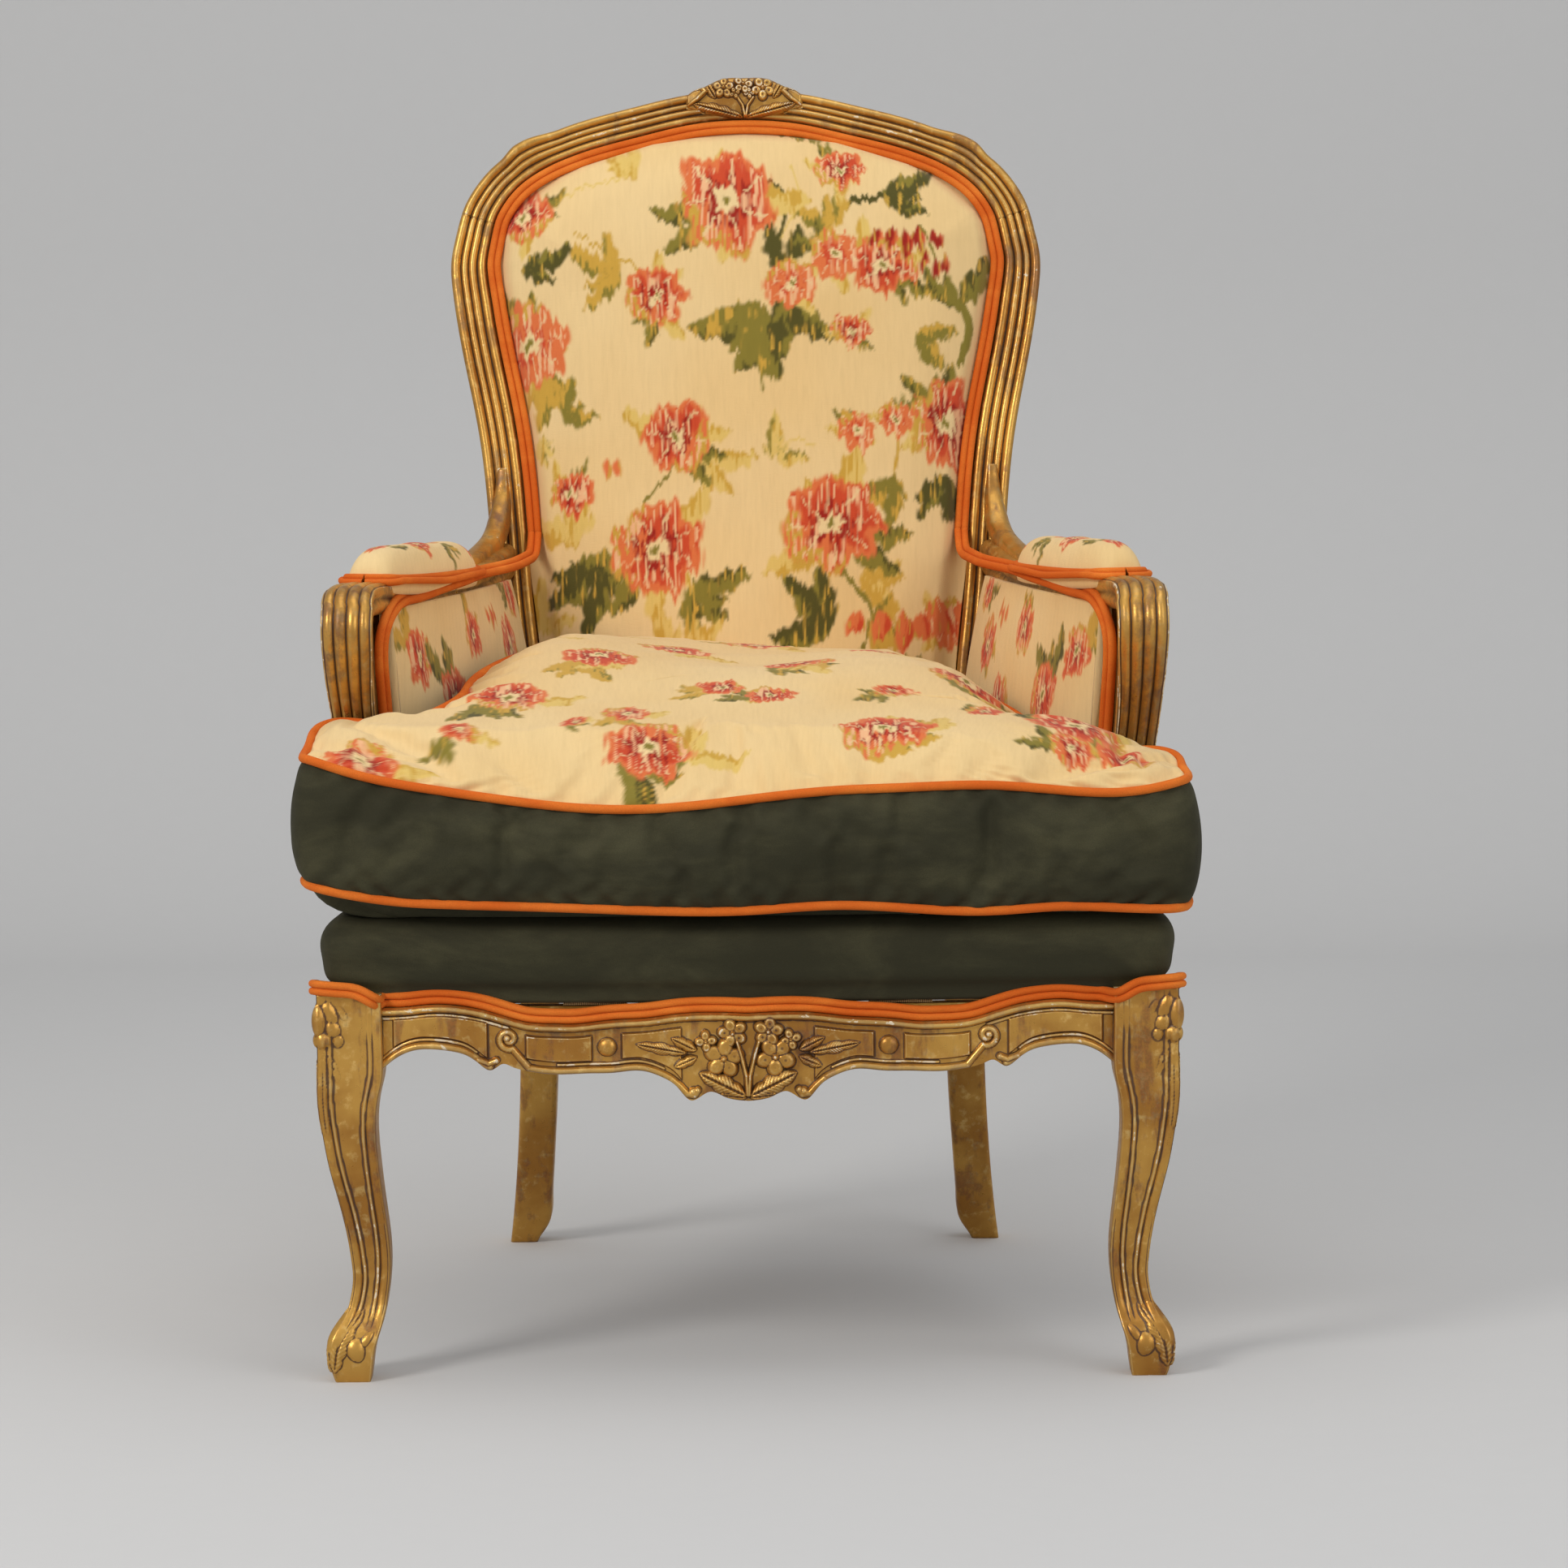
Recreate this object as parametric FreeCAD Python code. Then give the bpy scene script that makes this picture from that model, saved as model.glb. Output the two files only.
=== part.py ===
import FreeCAD, Part
import math
import os
from FreeCAD import Vector

# Louis XV bergere armchair: a carved and gilded beech frame, upholstered back, arms and deck,
# and a loose boxed seat cushion. Millimetres. +Z is up and the chair faces -Y. The origin is on
# the floor in the middle of the chair's box. Pieces are modelled for the right-hand side, +X,
# and mirrored.

DRIVING_SIZES = [
    # front legs
    ("knee_span", 677, "width over the two front knees"),
    ("knee_front", 322, "front face of the knees, forward of the origin"),
    ("knee_height", 223, "height of the fullest part of the knee"),
    ("knee_width", 45, "front leg's width at the knee"),
    ("leg_top", 311, "top of the knee block"),
    ("leg_block", 51, "width of the knee block that takes the rails"),
    ("ankle_height", 80, "height of the thinnest part of the front leg"),
    ("ankle_width", 29, "front leg's width at the ankle"),
    ("ankle_setback", 23, "how far the ankle stands inside the knee"),
    ("toe_height", 28, "height of the fullest part of the toe"),
    ("toe_width", 36, "front leg's width at the toe"),
    ("toe_setback", 6, "how far the toe stands inside the knee"),
    ("foot_width", 28, "front foot's width on the floor"),
    ("leg_bead", 6, "width of the bead along the leg's edges"),
    ("leg_recess", 2, "depth of the leg's sunk panels"),
    # seat rails
    ("rail_top", 300, "top of the rails that the webbing is tacked to"),
    ("rail_arch", 266, "underside of the front rail at its outer arches"),
    ("rail_low", 247, "underside of the front rail between its scrolls"),
    ("pendant_low", 225, "underside of the carved pendant"),
    ("rail_crown", 293, "top of the front moulding at the middle"),
    ("rail_dip", 286, "top of the front moulding at its dips"),
    ("rail_thickness", 30, "thickness of the seat rails"),
    ("rail_bow", 14, "how far the front rail bows forward"),
    ("rail_setback", 6, "how far the rails' ends stand behind the knees' faces"),
    ("moulding_depth", 11, "depth of the moulding that the deck's cover ends on"),
    ("panel_sink", 3, "depth of the front rail's sunk panels"),
    ("side_rail_height", 48, "height of the side and rear rails"),
    ("side_rail_arch", 12, "rise of the side rails' lower edge"),
    ("cover_step", 8, "depth of the step in the side rails for the outside arms' covers"),
    # back frame
    ("rear_leg_span", 408, "width over the rear legs at the seat"),
    ("rear_leg_width", 34, "rear leg's width at the seat"),
    ("rear_foot_span", 436, "width over the rear feet"),
    ("rear_foot_width", 25, "rear foot's width on the floor"),
    ("rear_foot_back", 277, "front of the rear feet, behind the origin"),
    ("back_plane", 181, "front of the back frame at rail height, behind the origin"),
    ("back_lean", 10, "lean of the back, in degrees"),
    ("waist_span", 460, "width over the back at its waist"),
    ("waist_height", 663, "height of the back's waist"),
    ("shoulder_span", 523, "width over the back at its widest"),
    ("shoulder_height", 875, "height of the widest part of the back"),
    ("crest_top", 1034, "top of the crest rail's moulding"),
    ("bouquet_rise", 12, "how far the carved flowers stand above the crest's moulding"),
    ("bouquet_width", 150, "width of the carved flowers"),
    ("stile_face", 33, "width of the moulded face of the stiles"),
    ("crest_face", 27, "width of the moulded face of the crest rail"),
    ("frame_depth", 34, "front to back depth of the back frame"),
    ("rebate_width", 13, "width of the rebate that the covers are tacked to"),
    ("rebate_depth", 11, "depth of that rebate"),
    ("bead_relief", 7, "depth of the mouldings' coves"),
    ("lower_rail_height", 420, "middle of the back's lower rail"),
    ("lower_rail_width", 44, "height of the back's lower rail"),
    # arms
    ("arm_height", 606, "middle of the arm rest above the floor"),
    ("arm_front", 224, "tip of the arm rest, forward of the origin"),
    ("arm_width", 40, "width of the arm rest"),
    ("arm_thickness", 27, "thickness of the arm rest"),
    ("arm_groove", 3, "depth of the grooves along the arm"),
    ("support_width", 33, "width of the arm support"),
    ("support_depth", 30, "front to back depth of the arm support"),
    ("support_foot", 170, "middle of the arm support's foot, forward of the origin"),
    # upholstery
    ("cloth", 1.5, "thickness of the covers"),
    ("deck_top", 370, "top of the upholstered deck"),
    ("deck_bulge", 12, "how far the deck's edge bulges past the rail"),
    ("seat_hessian_thickness", 1, "thickness of the hessian over the webbing"),
    ("back_crown", 34, "crown of the inside back"),
    ("arm_stuffing", 30, "thickness of the inside arms over the side rails"),
    ("arm_bulge", 8, "crown of the inside arms"),
    ("welt_width", 12, "width of the double welt"),
    ("welt_height", 5, "height of the double welt"),
    ("arm_pad_length", 246, "length of the arm pad"),
    ("arm_pad_width", 46, "width of the arm pad"),
    ("arm_pad_crown", 30, "height of the arm pad"),
    ("web_width", 50, "width of the webbing"),
    ("web_thickness", 1.5, "thickness of the webbing"),
    # loose cushion
    ("cushion_span", 690, "width over the seams of the cushion's front ears"),
    ("cushion_front", 326, "cushion's front corners, forward of the origin"),
    ("cushion_back", 168, "cushion's rear seam, behind the origin"),
    ("cushion_border", 92, "height of the cushion's boxed border"),
    ("cushion_bulge", 8, "how far the border bulges past its seams"),
    ("cushion_crown", 84, "crown of the cushion above its top seam"),
    ("cushion_gap", 0.5, "clearance under and beside the cushion"),
    ("piping_cord", 7, "diameter of the cushion's piping"),
    # joints
    ("tenon_thickness", 9, "thickness of the tenons"),
    ("tenon_length", 18, "length of the tenons"),
    ("joint_clearance", 0.2, "clearance round each tenon"),
    ("block_side", 60, "side of the corner blocks"),
    ("block_height", 26, "height of the corner blocks"),
]

doc = FreeCAD.newDocument("bergere_chair")
sheet = doc.addObject("Spreadsheet::Sheet", "Sizes")
for row, (alias, value, note) in enumerate(DRIVING_SIZES, start=1):
    sheet.set("A%d" % row, note)
    sheet.set("B%d" % row, str(value))
    sheet.setAlias("B%d" % row, alias)
doc.recompute()


class Sizes:
    """The sheet's cells, read by name."""

    def __getattr__(self, alias):
        return float(sheet.get(alias))


s = Sizes()
ORIGIN = Vector(0, 0, 0)
RIGHT = Vector(1, 0, 0)
BACKWARD = Vector(0, 1, 0)
UP = Vector(0, 0, 1)
sub_parts = []


# General helpers

def add_piece(label, shape):
    """A sub-part whose shape is worked out from the sheet's sizes."""
    piece = doc.addObject("Part::Feature", label)
    piece.Label = label
    piece.Shape = shape
    sub_parts.append(piece)
    return piece


def add_pair(name, right_shape):
    """The right-hand piece and its mirror image."""
    add_piece(name + "_right", right_shape)
    add_piece(name + "_left", right_shape.mirror(ORIGIN, RIGHT))


def loft(rings):
    """A smooth solid through sections with as many corners each."""
    return Part.makeLoft([Part.makePolygon(list(ring) + [ring[0]]) for ring in rings], True, False)


def panel(corners):
    """One flat face through four corners, or two where they don't lie in a plane."""
    first, second, third, fourth = corners
    normal = (second - first).cross(third - first)
    if normal.Length > 1e-6 and abs(unit(normal).dot(fourth - first)) < 1e-7:
        return [Part.Face(Part.makePolygon([first, second, third, fourth, first]))]
    faces = []
    for trio in ((first, second, third), (first, third, fourth)):
        if (trio[1] - trio[0]).cross(trio[2] - trio[0]).Length > 1e-6:
            faces.append(Part.Face(Part.makePolygon(list(trio) + [trio[0]])))
    return faces


def skin(rings, closed=False):
    """A solid of flat panels through rings of corners: the soft pieces, welts and cords."""
    faces = []
    count = len(rings[0])
    pairs = list(zip(rings, rings[1:]))
    if closed:
        pairs.append((rings[-1], rings[0]))
    else:
        faces += [Part.Face(Part.makePolygon(list(ring) + [ring[0]])) for ring in (rings[0], rings[-1])]
    for lower, upper in pairs:
        for number in range(count):
            following = (number + 1) % count
            faces += panel((lower[number], lower[following], upper[following], upper[number]))
    solid = Part.Solid(Part.Shell(faces))
    if solid.Volume < 0:
        solid.reverse()
    return solid


def unit(vector):
    length = vector.Length
    return Vector(vector.x / length, vector.y / length, vector.z / length)


def on_curve(points, count, first=0.0, last=1.0):
    """Places and directions, evenly spaced along part of a smooth curve through given points."""
    curve = Part.BSplineCurve()
    curve.interpolate(points)
    span = curve.LastParameter - curve.FirstParameter
    spots = []
    for step in range(count):
        share = first + (last - first) * step / (count - 1)
        at = curve.FirstParameter + span * share
        spots.append((curve.value(at), unit(curve.tangent(at)[0])))
    return spots


def turning_points(table):
    """Reads (height, value) pairs that are the turning points of a smooth outline."""

    def read(height):
        if height <= table[0][0]:
            return table[0][1]
        for (low, first), (high, last) in zip(table, table[1:]):
            if height <= high:
                share = (height - low) / (high - low)
                eased = share * share * (3 - 2 * share)
                return first + (last - first) * eased
        return table[-1][1]

    return read


def between(table, at):
    """Straight interpolation in (place, value) pairs."""
    if at <= table[0][0]:
        return table[0][1]
    for (low, first), (high, last) in zip(table, table[1:]):
        if at <= high:
            return first + (last - first) * (at - low) / (high - low)
    return table[-1][1]


def bar(centre, along, across, up, length, width, height):
    """A box round a point, turned to lie along a direction."""
    corners = []
    for a, b in ((-1, -1), (1, -1), (1, 1), (-1, 1)):
        corners.append(centre - along * (length / 2) + across * (a * width / 2) + up * (b * height / 2))
    face = Part.Face(Part.makePolygon(corners + [corners[0]]))
    return face.extrude(along * length)


def tenon(shoulder, along, across, height, grow=0.0):
    """A tenon past its shoulder, or with some growth the mortise that it fits."""
    length = s.tenon_length + grow
    root = s.tenon_length * 0.4
    middle = shoulder + along * ((length - root) / 2)
    up = along.cross(across)
    return bar(middle, along, across, up, length + root, s.tenon_thickness + 2 * grow, height + 2 * grow)


def welt(spots, outward):
    """A flat double welt laid along a path: two cords side by side."""
    half = s.welt_width / 2
    top = s.welt_height
    profile = [(-half, 0), (-half, top * 0.7), (-half * 0.5, top), (0, top * 0.5), (half * 0.5, top),
               (half, top * 0.7), (half, 0)]
    rings = []
    for (place, direction), out in zip(spots, outward):
        across = unit(direction.cross(out))
        lift = unit(across.cross(direction))
        rings.append([place + across * a + lift * b for a, b in profile])
    return skin(rings)


# Main lines of the frame

KNEE_OUT = s.knee_span / 2
BLOCK_IN = KNEE_OUT - s.leg_block
LEAN = math.radians(s.back_lean)
REAR_OUT = s.rear_leg_span / 2
BACK_FORWARD = Vector(0, -math.cos(LEAN), math.sin(LEAN))
BACK_UP = Vector(0, math.sin(LEAN), math.cos(LEAN))


def in_back(x, height, forward=0.0):
    """A point on the back frame's leaning front face, or in front of it."""
    y = s.back_plane + (height - s.rail_top) * math.tan(LEAN)
    return Vector(x, y, height) + BACK_FORWARD * forward


def rail_face(x):
    """Depth of the bowed front rail's face at a width."""
    share = min(1.0, abs(x) / BLOCK_IN)
    return -(s.knee_front - s.rail_setback + s.rail_bow * (1 - share * share))


SIDE_START = Vector(KNEE_OUT - s.rail_setback, s.leg_block / 2 - s.knee_front, 0)
SIDE_END = Vector(REAR_OUT - s.rail_setback / 2, s.back_plane + s.frame_depth / 2, 0)
SIDE_RUN = unit(SIDE_END - SIDE_START)
SIDE_INWARD = UP.cross(SIDE_RUN)


def side_face(y):
    """Width of the side rail's outer face at a depth."""
    share = (y - SIDE_START.y) / (SIDE_END.y - SIDE_START.y)
    return SIDE_START.x + (SIDE_END.x - SIDE_START.x) * share


# Front legs

def panelled_square(middle, width):
    """Leg section: sunk panels between beads on the front and outer faces."""
    half = width / 2
    inner = s.leg_bead + s.leg_recess
    front = [(-half, -half), (s.leg_bead - half, -half), (inner - half, s.leg_recess - half),
             (half - inner, s.leg_recess - half), (half - s.leg_bead, -half)]
    outer = [(-b, a) for a, b in front]
    return [middle + Vector(a, b, 0) for a, b in front + outer + [(half, half), (-half, half)]]


def front_leg():
    """Cabriole leg: knee, ankle and toe move in and out along the corner's diagonal."""
    shoulder = s.knee_height + 24
    width_at = turning_points([(0, s.foot_width), (s.toe_height, s.toe_width), (s.ankle_height, s.ankle_width),
                               (s.knee_height, s.knee_width), (shoulder, s.leg_block)])
    setback_at = turning_points([(s.toe_height, s.toe_setback), (s.ankle_height, s.ankle_setback),
                                 (s.knee_height, 0)])
    rings = []
    for step in range(17):
        height = shoulder * step / 16
        width = width_at(height)
        offset = setback_at(height) + width / 2
        rings.append(panelled_square(Vector(KNEE_OUT - offset, offset - s.knee_front, height), width))
    top = [Vector(corner.x, corner.y, s.leg_top) for corner in rings[-1]]
    return skin(rings + [top])


# Seat rails

def front_rail_underside():
    """Right half of the front rail's lower edge: pendant, scroll, arch, hook and outer arch."""
    low = s.rail_low
    return [(0, s.pendant_low), (22, s.pendant_low + 4), (34, s.pendant_low + 8), (46, s.pendant_low),
            (56, low - 11), (66, low - 4), (86, low + 2), (125, low), (160, low - 1), (185, low + 5),
            (193, low + 7), (202, low + 2), (212, low + 8), (226, s.rail_arch - 4), (250, s.rail_arch),
            (269, s.rail_arch - 3), (BLOCK_IN, low + 2)]


def moulding_top(x):
    """Top of the front rail's moulding, where the deck's cover ends."""
    return between([(0, s.rail_crown), (60, s.rail_crown), (100, s.rail_dip + 2), (140, s.rail_dip),
                    (170, s.rail_dip + 1), (210, s.rail_crown + 4), (245, s.rail_top + 1),
                    (BLOCK_IN, s.rail_top + 1)], abs(x))


def front_rail():
    """Bowed plank with a shaped lower edge and a step for the deck's cover."""
    under = front_rail_underside()
    edge = [Vector(x, 0, z) for x, z in under]
    edge = [Vector(-p.x, 0, p.z) for p in reversed(edge[1:])] + edge
    outline = edge + [Vector(BLOCK_IN, 0, s.rail_top), Vector(-BLOCK_IN, 0, s.rail_top)]
    deep = s.knee_front + s.rail_bow
    elevation = Part.Face(Part.makePolygon(outline + [outline[0]])).extrude(Vector(0, -2 * deep, 0))
    plan = Part.Face(bowed_band(0, s.rail_thickness)).extrude(UP * s.rail_top)
    plank = plan.common(elevation)
    step_line = [Vector(x, 0, moulding_top(x)) for x in (-245, -210, -170, -140, -100, -60)]
    step_line += [Vector(-p.x, 0, p.z) for p in reversed(step_line)]
    above = [Vector(-BLOCK_IN, 0, s.rail_top + 1)] + step_line + [Vector(BLOCK_IN, 0, s.rail_top + 1)]
    above += [Vector(BLOCK_IN, 0, s.rail_top + 9), Vector(-BLOCK_IN, 0, s.rail_top + 9)]
    step = Part.Face(Part.makePolygon(above + [above[0]])).extrude(Vector(0, -2 * deep, 0))
    front_band = Part.Face(bowed_band(-5, s.moulding_depth)).extrude(UP * 2 * s.rail_top)
    return plank.cut(step.common(front_band))


def bowed_band(near, far):
    """Plan of a strip that follows the front rail's bow, from one depth behind its face to another."""
    arcs = []
    for depth in (near, far):
        ends = [Vector(side * BLOCK_IN, rail_face(BLOCK_IN) + depth, 0) for side in (-1, 1)]
        arcs.append((ends[0], Vector(0, rail_face(0) + depth, 0), ends[1]))
    near_arc = Part.Arc(*arcs[0]).toShape()
    far_arc = Part.Arc(*arcs[1]).toShape()
    left = Part.LineSegment(arcs[1][0], arcs[0][0]).toShape()
    right = Part.LineSegment(arcs[0][2], arcs[1][2]).toShape()
    return Part.Wire([near_arc, right, far_arc, left])


def side_rail():
    """Side rail with an arched lower edge, running in to the narrower back."""
    run = (SIDE_END - SIDE_START).Length
    low = s.rail_top - s.side_rail_height
    lower = [(0, low - 3), (55, low + 2), (110, low + s.side_rail_arch), (run * 0.5, low + s.side_rail_arch * 0.6),
             (run - 110, low + s.side_rail_arch), (run - 40, low + 2), (run, low)]
    edge = [SIDE_START + SIDE_RUN * along + UP * z for along, z in lower]
    outline = edge + [SIDE_END + UP * s.rail_top, SIDE_START + UP * s.rail_top]
    plank = Part.Face(Part.makePolygon(outline + [outline[0]])).extrude(SIDE_INWARD * s.rail_thickness)
    top = (SIDE_START + SIDE_END) / 2 + SIDE_INWARD * (s.moulding_depth / 2) + UP * s.rail_top
    return plank.cut(bar(top, SIDE_RUN, SIDE_INWARD, UP, run * 2, s.moulding_depth, 2 * s.cover_step))


# Back frame

def outline_points():
    """The back's outer outline, from the deck up the right side, over the crest and down again."""
    waist = s.waist_span / 2
    shoulder = s.shoulder_span / 2
    rise = s.crest_top - s.shoulder_height
    drop = s.waist_height - s.rail_top
    points = [(REAR_OUT + 3, s.rail_top + drop * 0.2), (REAR_OUT + 9, s.rail_top + drop * 0.5),
              (waist - 5, s.rail_top + drop * 0.8), (waist, s.waist_height),
              (waist + (shoulder - waist) * 0.38, s.waist_height + (s.shoulder_height - s.waist_height) * 0.4),
              (shoulder, s.shoulder_height), (shoulder * 0.956, s.shoulder_height + rise * 0.36),
              (shoulder * 0.807, s.shoulder_height + rise * 0.63), (shoulder * 0.585, s.shoulder_height + rise * 0.81),
              (shoulder * 0.379, s.shoulder_height + rise * 0.9), (0, s.crest_top)]
    points += [(-x, height) for x, height in reversed(points[:-1])]
    return [in_back(x, height) for x, height in points]


CREST_SHARE = 0.66


def outline(count, first, last):
    """Places on the right half of the outline, with the way across the frame's face from each."""
    spots = on_curve(outline_points(), count, first / 2, last / 2)
    return [(place, direction, unit(BACK_FORWARD.cross(direction))) for place, direction in spots]


def face_width(share):
    """Width of the frame's moulded face along its outline."""
    return between([(CREST_SHARE - 0.1, s.stile_face), (CREST_SHARE + 0.12, s.crest_face)], share)


def moulded_ring(place, inward, face):
    """Frame section: an outer bead, a cove, an inner bead and the rebate for the covers."""
    relief = s.bead_relief
    profile = [(0, -s.frame_depth), (0, -relief), (face * 0.14, 0), (face * 0.3, 0), (face * 0.42, -relief),
               (face * 0.62, -relief), (face * 0.74, -1), (face * 0.92, -1), (face, -relief * 0.5),
               (face, -s.rebate_depth), (face + s.rebate_width, -s.rebate_depth),
               (face + s.rebate_width, -s.frame_depth)]
    return [place + inward * across + BACK_FORWARD * out for across, out in profile]


def moulded_length(count, first, last):
    """Sections of the back frame along a share of its outline."""
    rings = []
    for step, (place, direction, inward) in enumerate(outline(count, first, last)):
        share = first + (last - first) * step / (count - 1)
        rings.append(moulded_ring(place, inward, face_width(share)))
    return rings


def rear_leg():
    """Square rear leg that splays out and sweeps back below the seat."""
    width_at = turning_points([(0, s.rear_foot_width), (s.toe_height, s.rear_leg_width),
                               (s.ankle_height, s.rear_leg_width - 2), (s.rail_top, s.rear_leg_width)])
    splay = s.rear_foot_span / 2 - REAR_OUT
    sweep = s.rear_foot_back - s.back_plane
    rings = []
    for share in (0, 0.05, 0.1, 0.2, 0.4, 0.7, 1.0):
        height = s.rail_top * share
        width = width_at(height)
        half = width / 2
        edge = width * 0.12
        middle = Vector(REAR_OUT + splay * (1 - share) ** 2.5 - half, s.back_plane + sweep * (1 - share) ** 2 + half,
                        height)
        corners = [(edge - half, -half), (half - edge, -half), (half, edge - half), (half, half - edge),
                   (half - edge, half), (edge - half, half), (-half, half - edge), (-half, edge - half)]
        rings.append([middle + Vector(a, b, 0) for a, b in corners])
    below = loft(rings)
    lean = BACK_UP * (s.lower_rail_height * 0.25)
    return below.fuse(skin([rings[-1], [corner + lean for corner in rings[-1]]]))


def back_stile():
    """Rear leg and moulded stile in one length, as sawn from one plank."""
    stile = loft(moulded_length(9, 0.0, CREST_SHARE))
    return stile.fuse(rear_leg())


def crest_rail():
    """Moulded crest between the stiles, with a raised ground for the carved flowers."""
    half = moulded_length(9, CREST_SHARE, 1.0)
    other = [[Vector(-corner.x, corner.y, corner.z) for corner in ring] for ring in reversed(half[:-1])]
    rail = skin(half + other)
    wide = s.bouquet_width / 2
    top = s.crest_top + s.bouquet_rise
    low = s.crest_top - s.crest_face
    ground = [(-wide, s.crest_top - 9), (-wide * 0.7, top - 6), (-wide * 0.25, top), (wide * 0.25, top),
              (wide * 0.7, top - 6), (wide, s.crest_top - 9), (wide * 0.5, low + 4), (0, low), (-wide * 0.5, low + 4)]
    back_ring = [in_back(x, height, -s.rebate_depth) for x, height in ground]
    front_ring = [in_back(x * 0.86, low + 4 + (height - low) * 0.8, 6) for x, height in ground]
    return rail.fuse(skin([back_ring, front_ring]))


def lower_rail():
    """Plain rail across the back behind the cushion, for the inside back's lower edge."""
    centre = in_back(0, s.lower_rail_height, -s.rebate_depth - s.frame_depth * 0.3)
    return bar(centre, RIGHT, BACK_FORWARD, BACK_UP, 2 * REAR_OUT - 30, s.frame_depth * 0.6, s.lower_rail_width)


def rear_rail():
    """Straight rail between the rear legs."""
    height = s.side_rail_height - 4
    thick = s.rail_thickness - 6
    centre = Vector(0, s.back_plane + s.rear_leg_width - thick / 2, s.rail_top - height / 2)
    return bar(centre, RIGHT, BACKWARD, UP, 2 * REAR_OUT - 40, thick, height)


# Arms

def arm_line():
    """Middle of the right arm rest, from its tip back to the stile."""
    tip = -s.arm_front
    wide = KNEE_OUT - s.arm_width / 2
    rear = s.waist_span / 2 - 8
    high = s.arm_height
    end = in_back(rear, high + 12)
    return [Vector(wide - 1, tip, high - 18), Vector(wide - 1, tip + 5, high), Vector(wide - 4, tip + 34, high + 7),
            Vector(wide - 16, tip + 84, high + 5), Vector(wide - 36, tip + 146, high + 2),
            Vector(wide - 58, tip + 234, high), Vector(wide - 76, tip + 330, high), end]


def arm_rest():
    """Arm rest whose front end curls over into the support, with grooves along both sides."""
    spots = on_curve(arm_line(), 10)
    width_at = [(0, 0.72), (0.08, 0.92), (0.2, 1.0), (0.8, 0.85), (1.0, 0.8)]
    depth_at = [(0, 0.5), (0.08, 0.86), (0.2, 1.0), (0.8, 0.9), (1.0, 1.3)]
    rings = []
    for step, (place, direction) in enumerate(spots):
        share = step / (len(spots) - 1)
        across = unit(direction.cross(UP))
        lift = unit(across.cross(direction))
        half = s.arm_width / 2 * between(width_at, share)
        deep = s.arm_thickness / 2 * between(depth_at, share)
        groove = s.arm_groove
        profile = [(4 - half, -deep), (half - 4, -deep), (half, -deep * 0.3), (half - groove, 0), (half, deep * 0.4),
                   (half - 5, deep), (5 - half, deep), (-half, deep * 0.4), (-half, -deep * 0.3)]
        rings.append([place + across * a + lift * b for a, b in profile])
    return loft(rings)


def support_line():
    """Middle of the right arm support, from the side rail up to the arm rest."""
    foot = -s.support_foot
    wide = KNEE_OUT - s.arm_width / 2 - 2
    climb = s.arm_height - s.rail_top
    lean = s.arm_front - s.support_foot
    start = side_face(foot) - s.rail_thickness * 0.5
    return [Vector(start, foot, s.rail_top - 12), Vector(start + 2, foot, s.rail_top + climb * 0.12),
            Vector(start + (wide - start) * 0.62, foot + 2, s.rail_top + climb * 0.42),
            Vector(wide - 2, foot - lean * 0.03, s.rail_top + climb * 0.7),
            Vector(wide, foot - lean * 0.3, s.rail_top + climb * 0.9),
            Vector(wide, foot - lean * 0.55, s.rail_top + climb * 0.99)]


def arm_support():
    """Arm support with a ribbed front, swept outward from the side rail."""
    rings = []
    for place, direction in on_curve(support_line(), 6):
        across = RIGHT
        forward = unit(direction.cross(across))
        if forward.y > 0:
            forward = forward * -1
        half = s.support_width / 2
        deep = s.support_depth / 2
        groove = s.arm_groove
        profile = [(-half, -deep), (half, -deep), (half, deep - 4), (half * 0.6, deep), (half * 0.3, deep - groove),
                   (0, deep + 1), (-half * 0.3, deep - groove), (-half * 0.6, deep), (-half, deep - 4)]
        rings.append([place + across * a + forward * b for a, b in profile])
    return loft(rings)


# Upholstery

def drawn_in(points, low, high, distance):
    """An outline moved towards a spine between two points."""
    moved = []
    spine = high - low
    for point in points:
        share = max(0.0, min(1.0, (point - low).dot(spine) / spine.dot(spine)))
        target = low + spine * share
        moved.append(point + unit(target - point) * distance)
    return moved


def back_outline(inset):
    """Edge of the inside back within the frame's moulded face, up one side and down the other."""
    side = []
    for step, (place, direction, inward) in enumerate(outline(13, 0.12, 1.0)):
        side.append(place + inward * (face_width(0.12 + 0.88 * step / 12) + inset))
    other = [Vector(-point.x, point.y, point.z) for point in reversed(side[:-1])]
    return side + other


def back_pad(thinner):
    """The inside back's crowned form, or the same form with its cover taken off."""
    spine_low = in_back(0, s.waist_height - 60)
    spine_high = in_back(0, s.shoulder_height - 40)
    crown = s.back_crown
    trough = s.welt_width + 1.5
    levels = [(1, -s.rebate_depth, 0), (1, -s.welt_height, 1), (trough, -s.welt_height, 1), (trough + 2, 3, 1),
              (30, crown * 0.5, 1), (66, crown * 0.85, 1), (112, crown, 1)]
    rings = []
    for distance, out, covered in levels:
        ring = drawn_in(back_outline(0), spine_low, spine_high, distance + thinner)
        rings.append([point + BACK_FORWARD * (out - thinner * covered) for point in ring])
    return skin(rings)


def back_welt():
    """Double welt round the inside back, from arm to arm."""
    path = []
    for step, (place, direction, inward) in enumerate(outline(17, 0.335, 1.0)):
        width = face_width(0.335 + 0.665 * step / 16) + s.welt_width / 2 + 0.6
        path.append((place + inward * width - BACK_FORWARD * (s.welt_height - 0.3), direction))
    other = []
    for place, direction in reversed(path[:-1]):
        other.append((Vector(-place.x, place.y, place.z), Vector(direction.x, -direction.y, -direction.z)))
    spots = path + other
    return welt(spots, [BACK_FORWARD] * len(spots))


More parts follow.
